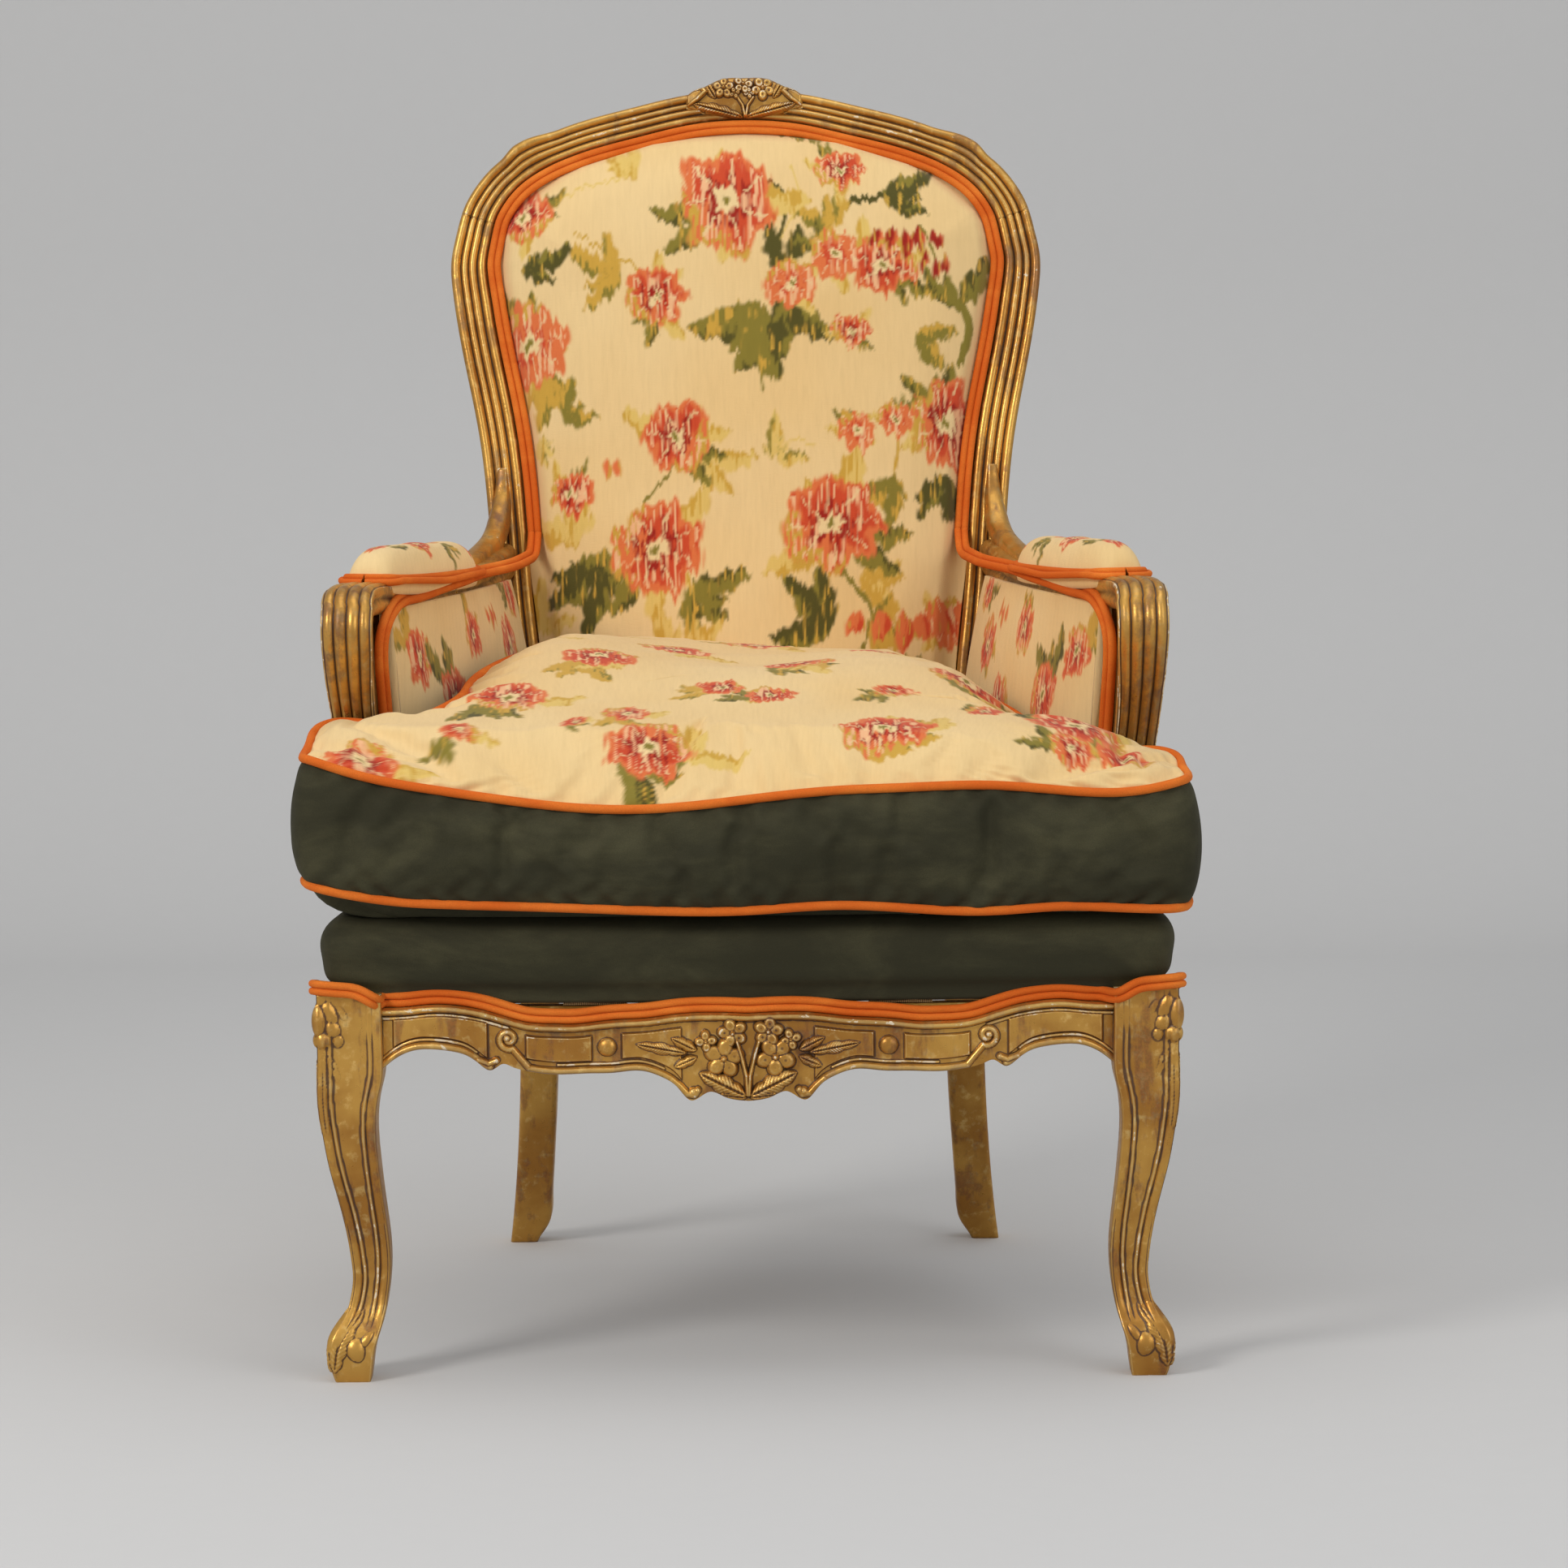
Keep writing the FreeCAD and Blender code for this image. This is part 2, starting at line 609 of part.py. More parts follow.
def outside_back():
    """Flat cover over the back of the frame, from inside its rear edge down to the rear rail."""
    ring = back_outline(-s.stile_face * 0.35)
    foot = REAR_OUT - s.rear_leg_width * 0.6
    ring = [in_back(foot, s.rail_top)] + ring + [in_back(-foot, s.rail_top)]
    behind = BACK_FORWARD * -s.frame_depth
    far = BACK_FORWARD * -(s.frame_depth + s.cloth)
    return skin([[point + behind for point in ring], [point + far for point in ring]])


def inner_arm(y):
    """Width of the arm rest's inner edge at a depth."""
    line = [(point.y, point.x) for point in arm_line()[1:]]
    return between(line, y) - s.arm_width * 0.48


def arm_stuffing_form(thinner):
    """The inside arm between the support and the back, or the same form without its cover."""
    front = s.support_depth / 2 - s.support_foot
    rear = s.back_plane + 22
    rings = []
    for share in (0.0, 0.07, 0.3, 0.6, 0.85, 1.0):
        y = front + (rear - front) * share
        fullness = 0.0 if share == 0.0 else s.arm_bulge
        low = side_face(y) - s.arm_stuffing
        high = inner_arm(y)
        top = s.arm_height - 2
        bottom = s.rail_top + s.web_thickness + s.seat_hessian_thickness
        climb = top - bottom
        ring = []
        for rise in (0.0, 0.2, 0.45, 0.75, 0.94, 1.0):
            x = low + (high - low) * rise - fullness * math.sin(math.pi * rise) + thinner
            ring.append(Vector(x, y, bottom + climb * rise - thinner * rise))
        ring.append(Vector(high + 10, y, top - thinner))
        ring.append(Vector(high + 10, y, top - 14))
        ring.append(Vector(side_face(y) - s.moulding_depth - 2, y, bottom))
        rings.append(ring)
    return skin(rings)


def outside_arm():
    """Cover stretched from the arm rest down to the side rail's outer edge."""
    front = s.support_depth / 2 - s.support_foot
    rear = s.back_plane + 14
    rings = []
    for share in (0.0, 0.33, 0.66, 1.0):
        y = front + (rear - front) * share
        high = inner_arm(y) + s.arm_width * 0.7
        low = side_face(y) - s.moulding_depth + 1
        top = s.arm_height - s.arm_thickness * 0.4
        rings.append([Vector(low, y, s.rail_top - s.cover_step), Vector(low + s.cloth, y, s.rail_top - s.cover_step),
                      Vector(high + s.cloth, y, top), Vector(high, y, top)])
    return skin(rings)


def arm_pad(thinner):
    """Stuffed pad on the front half of the arm rest."""
    first = 0.17
    last = first + s.arm_pad_length / 490
    spots = on_curve(arm_line(), 8, first, last)
    shape = [0.35, 0.8, 1.0, 1.0, 1.0, 1.0, 0.8, 0.35]
    rings = []
    for (place, direction), full in zip(spots, shape):
        across = unit(direction.cross(UP))
        lift = unit(across.cross(direction))
        half = s.arm_pad_width / 2 * (0.6 + 0.4 * full) - thinner
        base = s.arm_thickness / 2 - 6
        crown = (s.arm_pad_crown + 6) * (0.35 + 0.65 * full) - thinner
        ring = []
        for side, rise in ((-0.9, 0), (-1.0, 0.35), (-0.82, 0.72), (-0.4, 0.95), (0, 1.0), (0.4, 0.95), (0.82, 0.72),
                           (1.0, 0.35), (0.9, 0)):
            ring.append(place + across * (half * side) + lift * (base + crown * rise))
        rings.append(ring)
    if thinner:
        rings[0] = [corner + spots[0][1] * thinner for corner in rings[0]]
        rings[-1] = [corner - spots[-1][1] * thinner for corner in rings[-1]]
    return skin(rings)


def seat_plan(front, half_front, back, gap, bow):
    """T-shaped plan of the deck or the cushion: ears in front of the arm supports, then a taper."""
    ear = ear_back(gap)
    inset = s.arm_stuffing + s.arm_bulge + gap
    ear_in = side_face(ear) - inset
    rear_half = side_face(back) - inset
    depth = front + ear
    right = []
    for share in (0.0, 0.35, 0.7, 0.9):
        right.append(Vector(half_front * share, -front - bow * (1 - share * share), 0))
    right += [Vector(half_front - 6, -front + 5, 0), Vector(half_front, -front + 22, 0),
              Vector(half_front - 1, -front + depth * 0.6, 0), Vector(half_front - 6, ear - 12, 0),
              Vector(half_front - 20, ear, 0), Vector(ear_in + 8, ear, 0), Vector(ear_in - 3, ear + 9, 0),
              Vector((ear_in + rear_half) / 2 - 4, (ear + back) / 2, 0), Vector(rear_half - 1, back - 26, 0),
              Vector(rear_half - 8, back - 8, 0), Vector(rear_half - 26, back, 0)]
    left = [Vector(-point.x, point.y, 0) for point in reversed(right[1:])]
    return right + left


def offset_plan(points, distance):
    """An outline moved outward along its own normals, or inward when negative."""
    moved = []
    count = len(points)
    for number, point in enumerate(points):
        before = unit(point - points[number - 1])
        after = unit(points[(number + 1) % count] - point)
        normal = unit(before.cross(UP) + after.cross(UP))
        moved.append(point + normal * (distance / max(0.5, normal.dot(before.cross(UP)))))
    return moved


def ear_back(gap):
    """Depth of the edge of the ears that stands in front of the arm supports."""
    return -(s.support_foot + s.support_depth / 2 + 14 + gap)


def shrunk(points, share):
    """An outline drawn in towards the middle of the seat, as a crown's contour lines are."""
    middle = Vector(0, ear_back(0), 0)
    shift = Vector(0, s.knee_front * 0.3 * share * share, 0)
    return [point + (middle - point) * share + shift for point in points]


def at_height(points, height):
    return [Vector(point.x, point.y, height) for point in points]


def deck_form(thinner):
    """The upholstered deck above the rails, or the same form without its cover."""
    front = s.knee_front - s.rail_setback - s.moulding_depth
    bulge = s.deck_bulge
    plan = seat_plan(front, KNEE_OUT - 1 - bulge, s.back_plane - 4 - bulge, bulge + 1, s.rail_bow)
    low = s.rail_top + s.web_thickness + s.seat_hessian_thickness
    tall = s.deck_top - low
    levels = [(low, 0), (low + s.welt_width, 0.5), (low + tall * 0.45, bulge * 0.85), (low + tall * 0.65, bulge),
              (low + tall * 0.87, bulge * 0.4)]
    rings = [at_height(offset_plan(plan, out - thinner), height) for height, out in levels]
    rings.append(at_height(offset_plan(plan, -8 - thinner), s.deck_top - thinner))
    return skin(rings)


def cushion_plan():
    side_gap = s.cushion_gap + s.cushion_bulge
    return seat_plan(s.cushion_front, s.cushion_span / 2, s.cushion_back, side_gap, s.rail_bow)


def cushion_form(thinner):
    """Boxed down cushion: a bulging border and a deep crown, or the same form without its cover."""
    plan = cushion_plan()
    base = s.deck_top + s.cushion_gap
    seam_low = base + 7
    seam_top = seam_low + s.cushion_border
    crown = s.cushion_crown
    rings = [at_height(offset_plan(plan, -9 - thinner), base + thinner)]
    for height, out in ((seam_low, 0), (seam_low + s.cushion_border * 0.5, s.cushion_bulge), (seam_top, 0)):
        rings.append(at_height(offset_plan(plan, out - thinner), height))
    for share, rise in ((0.08, 0.22), (0.2, 0.52), (0.38, 0.79), (0.6, 0.95), (0.85, 1.0)):
        rings.append(at_height(shrunk(offset_plan(plan, -thinner), share), seam_top + crown * rise - thinner))
    return skin(rings)


def cushion_piping(height):
    """Piped cord all round one of the cushion's seams."""
    radius = s.piping_cord / 2
    middle = offset_plan(cushion_plan(), radius + 0.2)
    count = len(middle)
    rings = []
    for number, point in enumerate(middle):
        before = unit(point - middle[number - 1])
        after = unit(middle[(number + 1) % count] - point)
        out = unit(before.cross(UP) + after.cross(UP))
        stretch = radius / max(0.6, out.dot(before.cross(UP)))
        ring = []
        for corner in range(6):
            turn = math.pi * (corner + 0.5) / 3
            ring.append(point + out * (stretch * math.cos(turn)) + UP * (height + radius * math.sin(turn)))
        rings.append(ring)
    return skin(rings, closed=True)


def seat_welt():
    """Double welt along the front and round both knees, where the deck's cover meets the frame."""
    path = []
    face = s.moulding_depth
    widths = [BLOCK_IN, 262, 245, 210, 170, 140, 100, 60, 0]
    for x in widths:
        path.append(Vector(x, rail_face(x) + face - 0.8, moulding_top(x) + s.welt_width / 2 + 0.5))
    path = path + [Vector(-point.x, point.y, point.z) for point in reversed(path[:-1])]
    return welt(on_curve(path, 33), [Vector(0, -1, 0)] * 33)


def inside_arm_welt():
    """Double welt along the arm rest's inner edge and down the inside of the support."""
    points = []
    for y in (165, 90, 0, -90, -150):
        points.append(Vector(inner_arm(y) - 1.5, y, s.arm_height - 4))
    wide = KNEE_OUT - s.arm_width - 3.5
    front = -s.support_foot
    points += [Vector(wide, front - 6, s.arm_height - 22), Vector(wide - 1, front - 1, s.arm_height - 70),
               Vector(wide - 6, front, s.arm_height - 130)]
    spots = on_curve(points, 15)
    return welt(spots, [Vector(-1, 0, 0)] * len(spots))


# Webbing under the seat and behind the back

def seat_webbing():
    """Jute webbing tacked to the tops of the rails: strips both ways, woven as one layer."""
    strips = []
    low = s.rail_top
    for y in (-215, -130, -45, 40, 125):
        half = side_face(y) - s.rail_thickness * 0.6
        strips.append(Part.makeBox(2 * half, s.web_width, s.web_thickness, Vector(-half, y - s.web_width / 2, low)))
    front = rail_face(0) + s.rail_thickness * 0.55
    rear = s.back_plane + s.rear_leg_width * 0.6
    for x in (-120, -40, 40, 120):
        strips.append(Part.makeBox(s.web_width, rear - front, s.web_thickness, Vector(x - s.web_width / 2, front, low)))
    web = strips[0]
    for strip in strips[1:]:
        web = web.fuse(strip)
    return web.removeSplitter()


def seat_hessian():
    """Hessian over the webbing, tacked all round."""
    front = s.knee_front - s.rail_setback - s.moulding_depth - 3
    plan = seat_plan(front, KNEE_OUT - 16, s.back_plane - 6, 2, s.rail_bow)
    low = s.rail_top + s.web_thickness
    return skin([at_height(plan, low), at_height(plan, low + s.seat_hessian_thickness)])


def corner_block(front):
    """Triangular glue block in a corner of the seat frame."""
    side = s.block_side
    if front:
        y = rail_face(BLOCK_IN) + s.rail_thickness
        corner = Vector(side_face(y) - s.rail_thickness, y, 0)
        toward_middle = Vector(-1, 0, 0)
        along_side = SIDE_RUN
    else:
        y = s.back_plane + 5
        corner = Vector(side_face(y) - s.rail_thickness, y, 0)
        toward_middle = Vector(-1, 0, 0)
        along_side = SIDE_RUN * -1
    points = [corner, corner + toward_middle * side * 1.4, corner + along_side * side * 1.4]
    low = s.rail_top - s.block_height - 8
    return Part.Face(Part.makePolygon(at_height(points + [points[0]], low))).extrude(UP * s.block_height)


# Putting the chair together

def cut_all(shape, tools):
    for tool in tools:
        shape = shape.cut(tool)
    return shape


def main_solid(shape):
    """The largest solid of a result, without slivers left beyond the cutting piece."""
    return max(shape.Solids, key=lambda solid: solid.Volume)


def build_frame():
    mirror = lambda shape: shape.mirror(ORIGIN, RIGHT)
    leg = front_leg()
    stile = back_stile()
    front = front_rail()
    side = side_rail()
    rear = rear_rail()
    lower = lower_rail()
    crest = crest_rail()
    arm = arm_rest()
    support = arm_support()

    side = main_solid(side.cut(leg).cut(stile))
    rear = main_solid(cut_all(rear, [stile, mirror(stile)]))
    lower = main_solid(cut_all(lower, [stile, mirror(stile)]))
    support = main_solid(support.cut(side))
    arm = main_solid(arm.cut(stile))
    support = main_solid(support.cut(arm))

    middle = s.rail_top - s.side_rail_height / 2
    front_shoulder = Vector(BLOCK_IN, rail_face(BLOCK_IN) + s.rail_thickness * 0.55, middle)
    side_start = SIDE_START + SIDE_RUN * (s.leg_block * 0.52) + SIDE_INWARD * (s.rail_thickness * 0.5) + UP * middle
    rear_shoulder = Vector(REAR_OUT - s.rear_leg_width, s.back_plane + s.rear_leg_width / 2, middle)
    high = s.side_rail_height - 18
    front_tenon = lambda grow: tenon(front_shoulder, RIGHT, BACKWARD, high, grow)
    side_tenon = lambda grow: tenon(side_start, SIDE_RUN * -1, SIDE_INWARD, high, grow)
    rear_tenon = lambda grow: tenon(rear_shoulder, RIGHT, BACKWARD, high, grow)
    clear = s.joint_clearance

    front = front.fuse(front_tenon(0)).fuse(mirror(front_tenon(0)))
    side = side.fuse(side_tenon(0))
    rear = rear.fuse(rear_tenon(0)).fuse(mirror(rear_tenon(0)))
    leg = leg.cut(front_tenon(clear)).cut(side_tenon(clear))
    stile = stile.cut(rear_tenon(clear))
    add_pair("front_leg", leg)
    add_pair("back_stile", stile)
    add_pair("side_seat_rail", side)
    add_piece("front_seat_rail", front)
    add_piece("rear_seat_rail", rear)
    add_piece("back_lower_rail", lower)
    add_piece("crest_rail", crest)
    add_pair("arm_support", support)
    add_pair("arm_rest", arm)
    add_pair("front_corner_block", cut_all(corner_block(True), [leg, side, front]))
    add_pair("rear_corner_block", main_solid(cut_all(corner_block(False), [stile, side, rear])))
    return {"leg": leg, "stile": stile, "side": side, "arm": arm, "support": support, "front": front, "rear": rear}


def build_upholstery(frame):
    mirror = lambda shape: shape.mirror(ORIGIN, RIGHT)
    add_piece("seat_webbing", seat_webbing())
    knees = [frame["leg"], mirror(frame["leg"])]
    add_piece("seat_hessian", cut_all(seat_hessian(), knees))
    deck = deck_form(0)
    core = deck_form(s.cloth)
    add_piece("seat_stuffing", cut_all(core, knees))
    add_piece("seat_cover", cut_all(deck.cut(core), knees))
    add_piece("seat_welt", main_solid(cut_all(seat_welt(), knees + [frame["front"], deck])))
    pad = back_pad(0)
    stuffing = back_pad(s.cloth)
    add_piece("back_stuffing", stuffing)
    add_piece("inside_back_cover", pad.cut(stuffing))
    add_piece("outside_back_cover", outside_back().cut(frame["rear"]))
    add_piece("back_welt", back_welt())
    wood = [frame["arm"], frame["stile"], frame["side"], frame["support"]]
    full = arm_stuffing_form(0)
    inner = arm_stuffing_form(s.cloth)
    add_pair("inside_arm_stuffing", main_solid(cut_all(inner, wood)))
    add_pair("inside_arm_cover", main_solid(cut_all(full.cut(inner), wood)))
    add_pair("outside_arm_cover", main_solid(cut_all(outside_arm(), wood)))
    add_pair("inside_arm_welt", main_solid(cut_all(inside_arm_welt(), wood + [full])))
    pad_core = arm_pad(s.cloth)
    pad_full = arm_pad(0)
    add_pair("arm_pad_stuffing", main_solid(pad_core.cut(frame["arm"])))
    add_pair("arm_pad_cover", main_solid(pad_full.cut(pad_core).cut(frame["arm"])))


def build_cushion():
    full = cushion_form(0)
    core = cushion_form(s.cloth)
    add_piece("cushion_core", core)
    add_piece("cushion_cover", full.cut(core))
    seam_low = s.deck_top + s.cushion_gap + 7
    add_piece("cushion_piping_top", cushion_piping(seam_low + s.cushion_border))
    add_piece("cushion_piping_bottom", cushion_piping(seam_low))


def check_and_write():
    doc.recompute()
    for item in doc.Objects:
        if "Invalid" in item.State or "Error" in item.State:
            raise RuntimeError("failed object: " + item.Label)
    for piece in sub_parts:
        if piece.Shape.isNull() or not piece.Shape.isValid():
            raise RuntimeError("bad shape: " + piece.Label)
    os.makedirs("parts", exist_ok=True)
    for piece in sub_parts:
        piece.Shape.exportStep("parts/" + piece.Label + ".step")


build_upholstery(build_frame())
build_cushion()
check_and_write()
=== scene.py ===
import bpy
import math
import numpy as np
from mathutils import Matrix, Vector


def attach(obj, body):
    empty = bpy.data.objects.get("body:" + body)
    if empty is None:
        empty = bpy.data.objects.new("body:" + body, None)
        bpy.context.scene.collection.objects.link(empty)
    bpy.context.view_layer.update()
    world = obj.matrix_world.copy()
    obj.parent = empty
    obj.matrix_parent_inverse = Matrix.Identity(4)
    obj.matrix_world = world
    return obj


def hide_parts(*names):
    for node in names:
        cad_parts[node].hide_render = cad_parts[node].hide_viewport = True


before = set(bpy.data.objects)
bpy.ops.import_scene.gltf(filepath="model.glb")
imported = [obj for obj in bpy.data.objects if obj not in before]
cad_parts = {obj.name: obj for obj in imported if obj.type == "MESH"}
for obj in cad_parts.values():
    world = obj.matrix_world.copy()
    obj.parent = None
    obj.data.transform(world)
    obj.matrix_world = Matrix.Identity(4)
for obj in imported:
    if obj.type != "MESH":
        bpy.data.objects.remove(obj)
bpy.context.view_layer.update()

# Metres, in the frame of the CAD model: +Z up, the chair faces -Y.
# Right-hand pieces, +X, are made first and mirrored.

LEAN = math.radians(10)
FORWARD = np.array([0, -math.cos(LEAN), math.sin(LEAN)])
BACK_UP = np.array([0, math.sin(LEAN), math.cos(LEAN)])
RIGHT = np.array([1.0, 0, 0])
UP = np.array([0, 0, 1.0])
BACK_PLANE, RAIL_TOP, ARM_HEIGHT, DECK_TOP = 0.181, 0.300, 0.606, 0.370
KNEE_OUT, KNEE_FRONT, LEG_BLOCK = 0.3385, 0.322, 0.051
BLOCK_IN = KNEE_OUT - LEG_BLOCK
REAR_OUT = 0.204
SUPPORT_AT, SUPPORT_HALF = 0.170, 0.015
MIRROR = np.array([-1.0, 1, 1])
MM = 1000


# Curves and surfaces

def unit(vectors):
    vectors = np.asarray(vectors, float)
    return vectors / np.maximum(np.linalg.norm(vectors, axis=-1, keepdims=True), 1e-12)


def cubic(knots, values, at):
    """Natural cubic curve through values at knots, read at other places."""
    knots = np.asarray(knots, float)
    values = np.asarray(values, float)
    shape = values.shape[1:]
    flat = values.reshape(len(values), -1)
    steps = np.diff(knots)
    count = len(knots)
    matrix = np.eye(count)
    wanted = np.zeros_like(flat)
    for i in range(1, count - 1):
        matrix[i, i - 1:i + 2] = steps[i - 1], 2 * (steps[i - 1] + steps[i]), steps[i]
        wanted[i] = 6 * ((flat[i + 1] - flat[i]) / steps[i] - (flat[i] - flat[i - 1]) / steps[i - 1])
    bend = np.linalg.solve(matrix, wanted)
    at = np.asarray(at, float)
    i = np.clip(np.searchsorted(knots, at, "right") - 1, 0, count - 2)
    after = (at - knots[i])[:, None]
    before = (knots[i + 1] - at)[:, None]
    step = steps[i][:, None]
    result = (bend[i] * before**3 + bend[i + 1] * after**3) / (6 * step)
    result += (flat[i] / step - bend[i] * step / 6) * before
    result += (flat[i + 1] / step - bend[i + 1] * step / 6) * after
    return result.reshape((len(at),) + shape)


def lengths(points):
    steps = np.linalg.norm(np.diff(np.asarray(points, float), axis=0), axis=1)
    return np.concatenate([[0], np.cumsum(np.maximum(steps, 1e-9))])


def smooth(points, count):
    """Places evenly spaced along a smooth curve through points."""
    knots = lengths(points)
    return cubic(knots, points, knots[-1] * np.linspace(0, 1, count))


def ring_through(points, count):
    """A closed smooth curve through points."""
    points = np.asarray(points, float)
    pad = min(6, len(points))
    long = np.concatenate([points[-pad:], points, points[:pad]])
    knots = lengths(long)
    return cubic(knots, long, np.linspace(knots[pad], knots[pad + len(points)], count, endpoint=False))


def surface(rings, down, around):
    """A dense sheet of points through closed rings with as many corners each."""
    rings = np.asarray(rings, float)
    pad = min(6, rings.shape[1])
    long = np.concatenate([rings[:, -pad:], rings, rings[:, :pad]], axis=1)
    gaps = np.linalg.norm(np.diff(long, axis=1), axis=2).mean(0)
    knots = np.concatenate([[0], np.cumsum(np.maximum(gaps, 1e-9))])
    places = np.linspace(knots[pad], knots[pad + rings.shape[1]], around, endpoint=False)
    dense = np.swapaxes(cubic(knots, np.swapaxes(long, 0, 1), places), 0, 1)
    heights = np.concatenate([[0], np.cumsum(np.linalg.norm(np.diff(dense, axis=0), axis=2).mean(1))])
    return cubic(heights, dense, np.linspace(0, heights[-1], down))


def eased(low, high, at):
    share = np.clip((np.asarray(at, float) - low) / (high - low), 0, 1)
    return share * share * (3 - 2 * share)


def table(pairs, at):
    """Smooth reading of (place, value) pairs."""
    pairs = np.asarray(pairs, float)
    return cubic(pairs[:, 0], pairs[:, 1:], np.clip(np.atleast_1d(at), pairs[0, 0], pairs[-1, 0]))[:, 0]


def straight(pairs, at):
    pairs = np.asarray(pairs, float)
    return np.interp(at, pairs[:, 0], pairs[:, 1])


HASH_STEPS, HASH_MIX, HASH_MASK = (73856093, 19349663, 83492791), 1274126177, 0x7FFFFFFF


def noise(*coords, seed=0, octaves=1):
    """Smooth value noise in -1..1, the same at every run."""
    coords = np.broadcast_arrays(*[np.asarray(c, float) for c in coords])
    total = np.zeros(coords[0].shape)
    size, weight = 1.0, 1.0
    for octave in range(octaves):
        cells = [np.floor(c * size).astype(np.int64) for c in coords]
        parts = [c * size - cell for c, cell in zip(coords, cells)]
        parts = [p * p * (3 - 2 * p) for p in parts]
        value = np.zeros(total.shape)
        for corner in range(2 ** len(coords)):
            mixed = np.full(total.shape, (seed * 374761393 + octave * 668265263) & HASH_MASK, np.int64)
            share = np.ones(total.shape)
            for axis, (cell, part) in enumerate(zip(cells, parts)):
                bit = corner >> axis & 1
                mixed = (mixed ^ ((cell + bit) * HASH_STEPS[axis])) * HASH_MIX & HASH_MASK
                mixed ^= mixed >> 13
                share = share * (part if bit else 1 - part)
            value += share * ((mixed & 0xFFFF) / 32767.5 - 1)
        total += value * weight
        size, weight = size * 2, weight * 0.5
    return total


# Meshes

def sheet_faces(rows, columns, wrap=False, start=0):
    """Quads over a grid of points."""
    across = np.arange(columns if wrap else columns - 1)
    r, c = np.meshgrid(np.arange(rows - 1), across, indexing="ij")
    after, row, below = (c + 1) % columns, r * columns, (r + 1) * columns
    quads = np.stack([row + c, row + after, below + after, below + c], axis=-1)
    return quads.reshape(-1, 4) + start


def fan(ring_indices, centre):
    ring_indices = np.asarray(ring_indices)
    return np.stack([ring_indices, np.roll(ring_indices, -1), np.full(len(ring_indices), centre)], axis=-1)


def outward(points, faces):
    """A closed form with its faces turned outward."""
    middle = points.mean(0)
    total = 0.0
    for part in faces:
        first = points[part[:, 0]] - middle
        for k in range(1, part.shape[1] - 1):
            total += (first * np.cross(points[part[:, k]] - middle, points[part[:, k + 1]] - middle)).sum()
    return points, faces if total > 0 else [part[:, ::-1] for part in faces]


def tube_patch(grid):
    """Points and faces of a closed-ring sheet, with its two ends closed."""
    rows, columns = grid.shape[:2]
    points = grid.reshape(-1, 3)
    first = np.arange(columns)
    faces = [sheet_faces(rows, columns, wrap=True), fan(first[::-1], len(points)),
             fan(first + (rows - 1) * columns, len(points) + 1)]
    ends = np.stack([grid[0].mean(0), grid[-1].mean(0)])
    return outward(np.concatenate([points, ends]), faces)


def flat_patch(grid):
    rows, columns = grid.shape[:2]
    return grid.reshape(-1, 3), [sheet_faces(rows, columns)]


def merged(patches):
    points, faces, start = [], [], 0
    for part, its_faces in patches:
        points.append(part)
        faces += [f + start for f in its_faces]
        start += len(part)
    return np.concatenate(points), faces


def mirrored(patch):
    points, faces = patch
    return points * MIRROR, [f[:, ::-1] for f in faces]


def both(patch):
    """The right-hand form and its mirror image, each with the end of its name."""
    return ("right", patch), ("left", mirrored(patch))


def whole(half):
    """A path or sheet from the right up to the middle, carried on to the left."""
    return np.concatenate([half, half[::-1][1:] * MIRROR])


def build(name, patch, material, body="chair", stands_for=(), values=None):
    """A named piece from points and faces, with its material and its place in the record."""
    points, faces = patch
    mesh = bpy.data.meshes.new(name)
    corners = np.concatenate([f.reshape(-1) for f in faces]).astype(np.int32)
    sizes = np.concatenate([np.full(len(f), f.shape[1]) for f in faces]).astype(np.int32)
    mesh.vertices.add(len(points))
    mesh.vertices.foreach_set("co", np.ascontiguousarray(points, dtype=np.float32).reshape(-1))
    mesh.loops.add(len(corners))
    mesh.loops.foreach_set("vertex_index", corners)
    mesh.polygons.add(len(sizes))
    mesh.polygons.foreach_set("loop_start", np.concatenate([[0], np.cumsum(sizes)[:-1]]).astype(np.int32))
    mesh.update(calc_edges=True)
    mesh.validate()
    mesh.polygons.foreach_set("use_smooth", np.ones(len(mesh.polygons), bool))
    piece = bpy.data.objects.new(name, mesh)
    bpy.context.scene.collection.objects.link(piece)
    for key, value in (values or {}).items():
        give(piece, key, value)
    mesh.materials.append(material)
    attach(piece, body)
    if stands_for:
        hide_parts(*stands_for)
    return piece


def give(piece, key, value):
    """Stores a number or a colour for every point of a piece."""
    value = np.asarray(value, np.float32)
    kind = "FLOAT_COLOR" if value.ndim == 2 else "FLOAT"
    attribute = piece.data.attributes.new(key, kind, "POINT")
    if value.ndim == 2:
        value = np.concatenate([value, np.ones((len(value), 1), np.float32)], axis=1)
        attribute.data.foreach_set("color", value.reshape(-1))
    else:
        attribute.data.foreach_set("value", value)


def points_of(piece):
    points = np.empty(len(piece.data.vertices) * 3, np.float32)
    piece.data.vertices.foreach_get("co", points)
    return points.reshape(-1, 3).astype(float)


